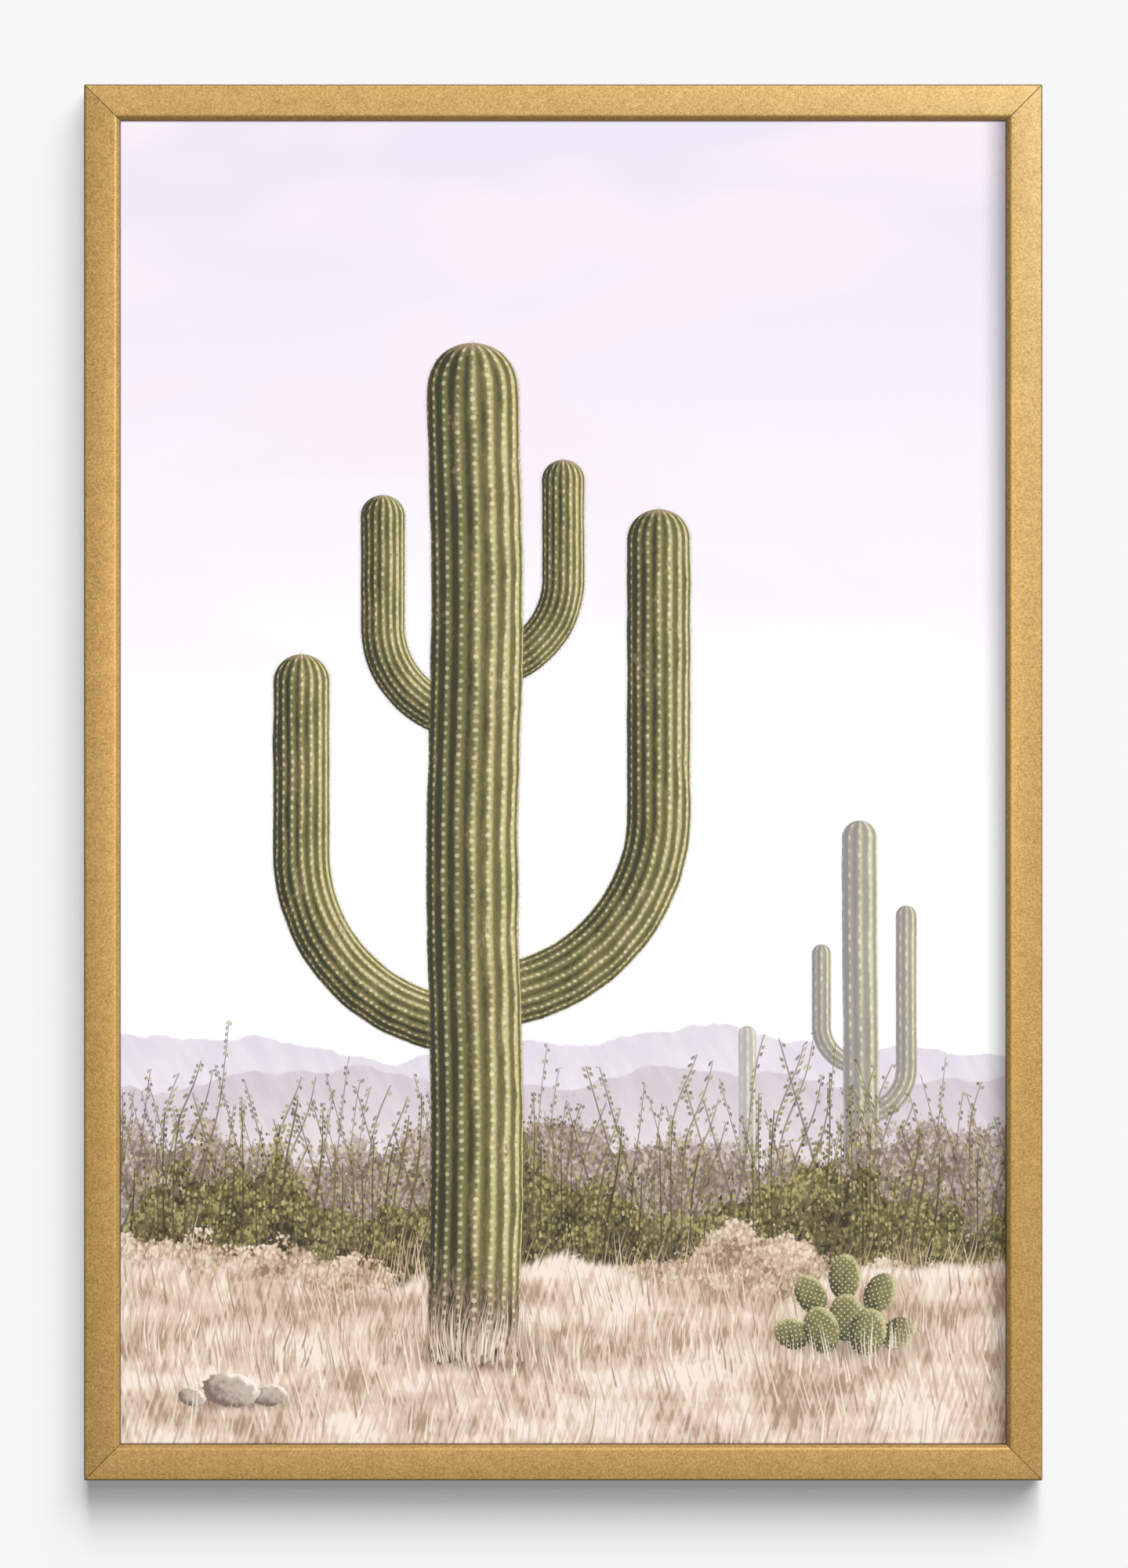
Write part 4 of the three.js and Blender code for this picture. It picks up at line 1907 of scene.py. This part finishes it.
@dataclass
class DesertPicture:
    """A pale desert view in inks: ribbed cacti, scrub, sand and straw under a lilac sky."""

    corner: Vector
    edges: tuple[float, float, float, float] = (-5, 505, -5, 752)
    paper: float = 0.93
    rough: float = 0.7
    sheen: float = 0.2
    columns: tuple[float, ...] = (81, 131, 168, 232, 267, 327, 387, 450)
    rows: tuple[float, ...] = (71, 149, 263, 355, 440, 626)
    layers: dict[Motif, bpy.types.NodeTree] = field(default_factory=dict)
    printed: dict[tuple[Motif, ...], bpy.types.Material] = field(default_factory=dict)

    def motifs(self) -> list[Motif]:
        """What the picture shows, from the back to the front.

        Returns:
            The motifs.
        """
        far = {"haze": 0.26, "ribs": 5, "spine_step": 7.0}
        farthest = {"haze": 0.45, "ribs": 4, "spine_step": 9.0}
        pads = (
            Pad(390, 84, 8.5, 12, -0.5), Pad(429, 85, 8.5, 12, 0.5), Pad(409, 94, 9, 13, 0.06),
            Pad(379, 62, 8.5, 10.5, -0.95), Pad(439, 62, 8.5, 10.5, 0.95), Pad(410, 71, 10, 13.5, 0.0),
            Pad(396, 64, 10, 13.5, -0.25), Pad(422, 63, 10.5, 13.5, 0.22),
        )
        stones = (Pad(84, 27, 10, 6, -0.15), Pad(62, 30, 16, 9.5, 0.12), Pad(40, 26, 8, 5, 0.2))
        return [
            Sky(140, 760),
            Ridge(120, 250, crest=226, wave=7, length=330, seed=1.7),
            Ridge(120, 230, crest=206, wave=6, length=210, seed=4.4,
                  tone=ink(209, 198, 207), foot=ink(231, 220, 224)),
            RibbedTrunk.rising(354, 5, 140, 236, **farthest),
            RibbedArm.out_of(418, -1, 22, 5.5, 236, 282, **far),
            RibbedArm.out_of(418, 1, 26, 6, 212, 304, **far),
            RibbedTrunk.rising(418, 10, 112, 352, **far),
            Thicket(72, 240, crest=172, wave=10, length=260, seed=2.2, blur=3, ragged=44, leafy=10,
                    dark=ink(126, 106, 100), middle=ink(168, 150, 142), light=ink(208, 192, 182)),
            Sprigs(100, 250, root=128, tall=110, spread=20, gap=8, width=1.3, lean=0.22, seed=3.1,
                   cover=0.8, fill=0.45, dark=ink(92, 74, 62), light=ink(146, 124, 106)),
            Sprigs(100, 250, root=128, tall=104, spread=20, gap=9, width=1.3, lean=-0.28, seed=8.3,
                   cover=0.8, fill=0.5, dark=ink(88, 70, 58), light=ink(140, 116, 98)),
            Thicket(72, 220, crest=142, wave=15, length=170, seed=5.6, blur=1.2, ragged=62, clump=24,
                    leafy=14, dark=ink(52, 42, 27), middle=ink(104, 94, 58), light=ink(166, 154, 104)),
            Sprigs(72, 235, root=104, tall=104, spread=24, gap=7, width=1.5, lean=0.06, seed=12.4,
                   fill=0.7, dark=ink(62, 48, 36), light=ink(120, 100, 78)),
            Leaves(72, 215, crest=160, wave=18, size=1.9, fill=0.5, seed=1.2),
            Leaves(72, 190, crest=145, wave=16, size=2.6, fill=0.34, seed=9.7,
                   dark=ink(52, 46, 26), middle=ink(104, 100, 54), light=ink(194, 184, 126)),
            Thicket(60, 148, crest=102, wave=13, length=310, seed=0.6, blur=1.6, ragged=34, clump=18,
                    leafy=7, dark=ink(146, 118, 96), middle=ink(200, 176, 152), light=ink(236, 218, 198)),
            Strokes(72, 148, root=92, wave=7, tall=40, spread=16, gap=2.4, width=1.3, lean=0.25,
                    seed=4.7, dark=ink(150, 122, 92), light=ink(226, 202, 168)),
            Sand(-6, 132, edge=94, wave=8, length=230, seed=1.0),
            Strokes(40, 140, root=82, wave=8, tall=34, spread=18, gap=2.2, width=1.2, lean=-0.2,
                    seed=7.7, dark=ink(158, 128, 104), light=ink(242, 224, 202)),
            Shade(30, 70, left=126, right=292, u=206, v=50, half=66, tall=13, strength=0.75),
            RibbedArm.out_of(200, -1, 98, 16, 334, 446),
            RibbedArm.out_of(200, 1, 50, 12, 488, 556),
            RibbedArm.out_of(200, -1, 52, 12.5, 462, 536),
            RibbedArm.out_of(200, 1, 104, 18, 356, 528),
            RibbedTrunk.rising(200, 26, 46, 622),
            Strokes(20, 112, root=60, wave=5, tall=34, spread=16, gap=2.1, width=1.3, lean=0.16,
                    seed=2.9, dark=ink(160, 130, 106), light=ink(246, 230, 210)),
            Strokes(26, 96, left=150, right=254, middle=202, reach=50, root=54, wave=3, tall=36,
                    spread=12, gap=1.5, width=1.5, lean=0.05, seed=1.4,
                    dark=ink(150, 122, 98), light=ink(246, 230, 210)),
            Shade(40, 76, left=350, right=470, u=412, v=54, half=50, tall=12, strength=0.7),
            PadCactus(44, 110, left=362, right=454, pads=pads),
            Strokes(12, 92, root=50, wave=5, tall=28, spread=12, gap=1.7, width=1.5, lean=-0.1,
                    seed=5.3, dark=ink(166, 138, 112), light=ink(250, 234, 216)),
            Strokes(-6, 84, root=30, wave=6, tall=42, spread=20, gap=3.2, width=1.5, lean=-0.24,
                    seed=6.1, dark=ink(168, 140, 116), light=ink(250, 236, 220)),
            Shade(8, 40, left=10, right=118, u=66, v=23, half=42, tall=8, strength=0.7),
            PadCactus(18, 42, left=26, right=100, pads=stones, rough=0.3, cushions=0.0,
                      dark=ink(122, 104, 94), middle=ink(194, 178, 166), light=ink(250, 240, 230)),
            Strokes(-6, 62, root=6, wave=6, tall=42, spread=20, gap=3.4, width=1.8, lean=0.2,
                    seed=9.2, dark=ink(178, 150, 128), light=ink(252, 240, 226)),
        ]

    def finish(self, place: Vector) -> bpy.types.Material:
        """The inks of the cell round a place. Cells that show the same motifs share them.

        Args:
            place: A place on the sheet, in metres.

        Returns:
            The material.
        """
        spot = (place - self.corner) * (1 / MM)
        left, right, low, high = self.edges
        left = max((cut for cut in self.columns if cut < spot.x), default=left)
        right = min((cut for cut in self.columns if cut > spot.x), default=right)
        low = max((cut for cut in self.rows if cut < spot.z), default=low)
        high = min((cut for cut in self.rows if cut > spot.z), default=high)
        shown = tuple(
            motif for motif in self.motifs()
            if motif.low < high and motif.high > low and motif.left < right and motif.right > left
        )
        if shown not in self.printed:
            tree = FinishTree(f"desert_cell_{len(self.printed)}", Roughness=self.rough,
                              Specular_IOR_Level=self.sheen)
            across, _, up = tree.split(tree.place())
            where = {"u": (across - self.corner.x) * (1 / MM), "v": (up - self.corner.z) * (1 / MM)}
            inks = WHITE
            for motif in shown:
                layer = {"node_tree": self.layer(motif)}
                inks = tree.node("ShaderNodeGroup", layer, {**where, "inks": inks})
            tree.set("Base Color", tree.tint(inks, self.paper))
            self.printed[shown] = tree.material
        return self.printed[shown]

    def layer(self, motif: Motif) -> bpy.types.NodeTree:
        """Paint a motif once.

        Args:
            motif: The motif.

        Returns:
            Its node group.
        """
        if motif not in self.layers:
            canvas = Canvas(f"{type(motif).__name__}_{len(self.layers)}")
            motif.paint(canvas)
            self.layers[motif] = canvas.close()
        return self.layers[motif]


@dataclass
class PictureStack:
    """What the rebate holds: the pane of glass, the printed sheet and the board behind them."""

    pane_gap: float = 0.03 * MM
    map_margin: float = 0.02
    bare_patch: float = 0.012
    pane_arris: float = 0.35 * MM

    def pane(self, finish: GlassFinish) -> bpy.types.Object:
        """The pane of glass, its edges ground.

        Args:
            finish: The glass.

        Returns:
            The finished pane.
        """
        low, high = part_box("glazing")
        pane = Workpiece.plate("glass_pane", low, high - Vector((0, self.pane_gap, 0)))
        pane.soften(self.pane_arris)
        piece = pane.finish()
        finishes = [
            finish.face_material("glass_face", finish.veil),
            finish.edge_material(),
            finish.face_material("glass_inner_face", 0.0),
        ]
        dress(piece, finishes, [lambda _, way: abs(way.y) < ALONG, lambda _, way: way.y > ALONG])
        return fit(piece, "frame", "glazing")

    def board(self, finish: bpy.types.Material) -> None:
        """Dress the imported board, whose shape is right.

        Args:
            finish: The hardboard.
        """
        node = frame["nodes"]["backing_board"]
        node.data.materials.clear()
        node.data.materials.append(finish)
        log.info("%s: the packed solid on frame", node.name)

    def sheet(self, picture: DesertPicture, bare: bpy.types.Material) -> bpy.types.Object:
        """The printed sheet, its front cut into cells that each have their own inks.

        Args:
            picture: What is printed on it.
            bare: The finish of its back and edges.

        Returns:
            The finished sheet.
        """
        low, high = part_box("print_sheet")
        sheet = Workpiece.plate("printed_sheet", low, high)
        for height in picture.rows:
            sheet.slice(picture.corner + Vector((0, 0, height * MM)), Vector((0, 0, 1)))
        for across in picture.columns:
            sheet.slice(picture.corner + Vector((across * MM, 0, 0)), Vector((1, 0, 0)))
        sheet.close_up()
        piece = sheet.finish()
        dress(piece, [bare])
        finishes = piece.data.materials
        for face in piece.data.polygons:
            if face.normal.y < -ALONG:
                finish = picture.finish(face.center)
                if finish.name not in finishes:
                    finishes.append(finish)
                face.material_index = finishes.find(finish.name)
        self.lay_out(piece, low, high)
        return fit(piece, "frame", "print_sheet")

    def lay_out(self, piece: bpy.types.Object, low: Vector, high: Vector) -> None:
        """Give the front nearly the whole of the sheet's map, and the bare faces a small patch.

        Args:
            piece: The sheet.
            low: Its lowest corner.
            high: Its highest corner.
        """
        places = piece.data.uv_layers.new(name="OFBake").data
        size = high - low
        for face in piece.data.polygons:
            front = face.normal.y < -ALONG
            start, share = (self.map_margin, 1 - self.map_margin) if front else (0, self.bare_patch)
            for corner in face.loop_indices:
                spot = piece.data.vertices[piece.data.loops[corner].vertex_index].co - low
                across, up = spot.x / size.x, spot.z / size.z
                if not front and abs(face.normal.y) < ALONG:
                    across, up = (across + spot.y / size.y) / 2, (up + spot.y / size.y) / 2
                places[corner].uv = (start + share * across, start + share * up)


@dataclass(frozen=True)
class Sun:
    """A wide soft sun: its angles to the right and above in degrees, how wide it looks, its light."""

    name: str
    aside: float
    above: float
    spread: float
    light: float
    behind: bool = False
    glossy: bool = False

    @property
    def way(self) -> Vector:
        """The way towards the sun, one unit deep."""
        across, up = math.tan(math.radians(self.aside)), math.tan(math.radians(self.above))
        return Vector((across, 1 if self.behind else -1, up))


@dataclass(frozen=True)
class SoftBox:
    """A square soft box: where it hangs, how wide it is, its power in watts and its colour."""

    name: str
    spot: Triple
    size: float
    power: float
    colour: Triple


@dataclass
class Studio:
    """The pale wall and floor, the soft lights and the camera, set by the photograph's framing."""

    low: Vector
    high: Vector
    picture: tuple[int, int] = (1439, 2000)
    frame_left_px: int = 107
    frame_right_px: int = 1330
    frame_top_px: int = 107
    frame_bottom_px: int = 1889
    lens: float = 130.0
    sensor: float = 36.0
    clip: Pair = (0.05, 40)
    wall_gap: float = 0.2 * MM
    wall_level: float = 0.912
    wall_paint: float = 0.86
    sheet_level: float = 1.065
    sheet_paint: float = 0.9
    sweep_size: float = 30
    floor_ahead: float = 12
    floor_drop: float = 1.05
    room_level: float = 0.8
    room_slope: float = 0.56
    room_bounce: float = 1.6
    room_size: float = 34.0
    room_paint: float = 0.775
    uprights: tuple[str, str] = ("gold_rail_left", "gold_rail_right")
    crossbars: tuple[str, str] = ("gold_rail_top", "gold_rail_bottom")
    wall_suns: tuple[Sun, ...] = (
        Sun("wall_front", 0, 0, 4, 0.268),
        Sun("wall_upper_right", 25.5, 48.9, 45, 0.469),
        Sun("wall_above_low", 1, 20.4, 11, 0.078),
        Sun("wall_above_mid", 1, 40, 8.5, 0.034),
        Sun("wall_above_high", 1, 53, 17, 0.112),
        Sun("wall_above_top", 1, 62, 8, 0.056),
    )
    sheet_suns: tuple[Sun, ...] = (
        Sun("picture_front", 0, 0, 4, 0.42),
        Sun("picture_near", 22, 0, 20, 0.11),
        Sun("picture_half", 44, 0, 18, 0.15),
        Sun("picture_far", 57, 0, 12, 0.16),
        Sun("picture_low", 66, 0, 10, 0.20),
    )
    frame_suns: tuple[Sun, ...] = (
        Sun("frame_front", 8, 10, 60, 0.24, glossy=True),
        Sun("frame_upper_right", 34, 42, 40, 0.75, glossy=True),
        Sun("frame_behind", -40, 18, 30, 2.0, behind=True),
        Sun("frame_behind_low", 30, 6, 50, 1.0, behind=True),
    )
    crossbar_sun: Sun = Sun("crossbar_front", 8, 10, 60, 0.45, glossy=True)
    corner_box: SoftBox = SoftBox("corner_glow", (0.75, -1.5, 0.42), 0.7, 9.6, (0.44, 0.64, 1.0))
    upright_box: SoftBox = SoftBox("upright_glow", (0.0, -1.2, -0.3), 0.6, 3.2, (1.0, 0.94, 0.72))

    def camera(self) -> None:
        """Stand the camera straight in front, so that the frame fills the same pixels."""
        wide, tall = self.picture
        per_pixel = (self.high.x - self.low.x) / (self.frame_right_px - self.frame_left_px)
        right = (wide / 2 - (self.frame_left_px + self.frame_right_px) / 2) * per_pixel
        down = (tall / 2 - (self.frame_top_px + self.frame_bottom_px) / 2) * per_pixel
        middle = (self.low + self.high) / 2
        distance = tall * per_pixel * self.lens / self.sensor
        data = bpy.data.cameras.new("camera")
        data.lens, data.sensor_width = self.lens, self.sensor
        data.clip_start, data.clip_end = self.clip
        camera = bpy.data.objects.new("camera", data)
        camera.location = (middle.x + right, self.low.y - distance, middle.z - down)
        camera.rotation_euler = (QUARTER, 0, 0)
        bpy.context.scene.collection.objects.link(camera)
        bpy.context.scene.camera = camera

    def surface(self, name: str, paint: FinishTree) -> bpy.types.Object:
        """Take up the primitive that was added last as a stage surface that only the eye sees.

        Args:
            name: The surface's name.
            paint: Its paint.

        Returns:
            The surface.
        """
        made = bpy.context.object
        made.name = name
        made.data.materials.append(paint.material)
        made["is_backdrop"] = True
        made.visible_shadow = made.visible_diffuse = made.visible_glossy = False
        return made

    def backdrop(self) -> None:
        """An even pale backdrop all round."""
        paint = FinishTree("room_paint", Emission_Color=WHITE, Emission_Strength=self.room_paint,
                           Base_Color=BLACK, Specular_IOR_Level=0.0)
        paint.material.cycles.emission_sampling = "NONE"
        clear_bench()
        bpy.ops.mesh.primitive_cube_add(size=self.room_size)
        self.surface("room", paint).visible_transmission = False

    def sweep(self) -> list[bpy.types.Object]:
        """The wall, which shows only from the front, and the floor.

        Returns:
            Both surfaces.
        """
        plain = {"Base_Color": (self.wall_paint, self.wall_paint, self.wall_paint, 1.0), "Roughness": 1.0}
        wall_paint = FinishTree("wall_paint", Specular_IOR_Level=0.0, **plain)
        floor_paint = FinishTree("floor_paint", Specular_IOR_Level=0.0, **plain)
        behind = wall_paint.node("ShaderNodeNewGeometry", output="Backfacing")
        clear = wall_paint.node("ShaderNodeBsdfTransparent")
        paint = Field(wall_paint, wall_paint.shader.outputs[0])
        shown = wall_paint.node("ShaderNodeMixShader", None, {0: behind, 1: paint, 2: clear})
        wall_paint.links.new(shown.socket, wall_paint.nodes["Material Output"].inputs[0])
        clear_bench()
        upright = {"location": (0, self.wall_gap, 0), "rotation": (QUARTER, 0, 0)}
        bpy.ops.mesh.primitive_plane_add(size=self.sweep_size, **upright)
        wall = self.surface("wall", wall_paint)
        below = (0, -self.floor_ahead, self.low.z - self.floor_drop)
        bpy.ops.mesh.primitive_plane_add(size=self.sweep_size, location=below)
        return [wall, self.surface("floor", floor_paint)]

    def group(self, name: str, members: Iterable[bpy.types.Object]) -> bpy.types.Collection:
        """A collection of what a set of lights reaches.

        Args:
            name: The collection's name.
            members: The objects in it.

        Returns:
            The collection.
        """
        made = bpy.data.collections.new(name)
        for member in members:
            made.objects.link(member)
        return made

    def hang(self, data: bpy.types.Light, way: Vector, lit: bpy.types.Collection) -> bpy.types.Object:
        """Hang one lamp.

        Args:
            data: The lamp's own settings.
            way: The way from what it lights towards it.
            lit: What it lights.

        Returns:
            The lamp.
        """
        lamp = bpy.data.objects.new(data.name, data)
        lamp.rotation_euler = way.to_track_quat("Z", "Y").to_euler()
        lamp.light_linking.receiver_collection = lit
        bpy.context.scene.collection.objects.link(lamp)
        return lamp

    def shine(self, sun: Sun, lit: bpy.types.Collection, scale: float = 1.0) -> None:
        """Hang one sun.

        Args:
            sun: The sun.
            lit: What it lights.
            scale: What its light is multiplied by.
        """
        data = bpy.data.lights.new(sun.name, "SUN")
        data.energy, data.angle = sun.light * scale, math.radians(sun.spread)
        self.hang(data, sun.way, lit).visible_glossy = sun.glossy

    def glow(self, box: SoftBox, lit: bpy.types.Collection) -> None:
        """Hang one soft box that faces the frame's upper edge.

        Args:
            box: The soft box.
            lit: What it lights.
        """
        data = bpy.data.lights.new(box.name, "AREA")
        data.energy, data.size, data.color = box.power, box.size, box.colour
        spot = Vector(box.spot)
        self.hang(data, spot - Vector((spot.x / 3, self.low.y, self.high.z)), lit).location = spot

    def light(self, surroundings: list[bpy.types.Object], stack: list[bpy.types.Object]) -> None:
        """Light the wall, the picture behind its glass, and the frame itself.

        Args:
            surroundings: The wall and the floor.
            stack: The pane and the printed sheet.
        """
        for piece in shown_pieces():
            piece.visible_diffuse = False
        around = self.group("lit_surroundings", surroundings)
        inside = self.group("lit_picture", stack)
        rest = [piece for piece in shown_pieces() if piece not in stack]
        solid = self.group("lit_frame", rest)
        uprights = self.group("lit_uprights", [piece for piece in rest if piece.name in self.uprights])
        crossbars = self.group("lit_crossbars", [piece for piece in rest if piece.name in self.crossbars])
        for sun in self.wall_suns:
            self.shine(sun, around, self.wall_level * math.pi / self.wall_paint * sun.way.length)
        for sun in self.sheet_suns:
            self.shine(sun, inside, self.sheet_level * math.pi / self.sheet_paint * sun.way.length)
        for sun in self.frame_suns:
            self.shine(sun, solid)
        self.shine(self.crossbar_sun, crossbars)
        self.glow(self.corner_box, solid)
        self.glow(self.upright_box, uprights)

    def air(self) -> None:
        """Set plain tones, and surroundings that brighten to the upper right and by the floor's bounce."""
        scene = bpy.context.scene
        scene.world = bpy.data.worlds.new("pale_room")
        scene.world.use_nodes = True
        scene.world.cycles_visibility.diffuse = False
        scene.world.cycles.sampling_method = "NONE"
        room = Sketch(scene.world.node_tree)
        across, _, up = room.split(room.node("ShaderNodeTexCoord", output="Generated"))
        bounce = across.least(0.0) * up.least(0.0)
        level = self.room_level + self.room_slope * (across + up) + self.room_bounce * bounce
        background = room.nodes["Background"].inputs
        background["Color"].default_value = WHITE
        room.links.new(level.socket, background["Strength"])
        scene.view_settings.view_transform = "Standard"


def main() -> None:
    """Build the framed print and its studio in order."""
    low, high = cad_box
    studio = Studio(low, high)
    studio.camera()
    studio.air()
    steel = PlatedSteelFinish().material()
    rails = Rails(low, high)
    nails = CornerNails(rails)
    rails.build(nails.slots)
    nails.build(steel)
    board_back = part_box("backing_board")[1].y
    TurnLatches(board_back).build(steel)
    Hangers(board_back).build(steel)
    stack = PictureStack()
    stack.board(HardboardFinish().material())
    bare = PaperFinish().material()
    picture = DesertPicture(Vector((low.x + rails.width, 0, low.z + rails.width)))
    sheet = stack.sheet(picture, bare)
    pane = stack.pane(GlassFinish())
    studio.light(studio.sweep(), [sheet, pane])
    studio.backdrop()


if __name__ == "__main__":
    logging.basicConfig(level=logging.INFO, format="%(name)s %(message)s")
    main()
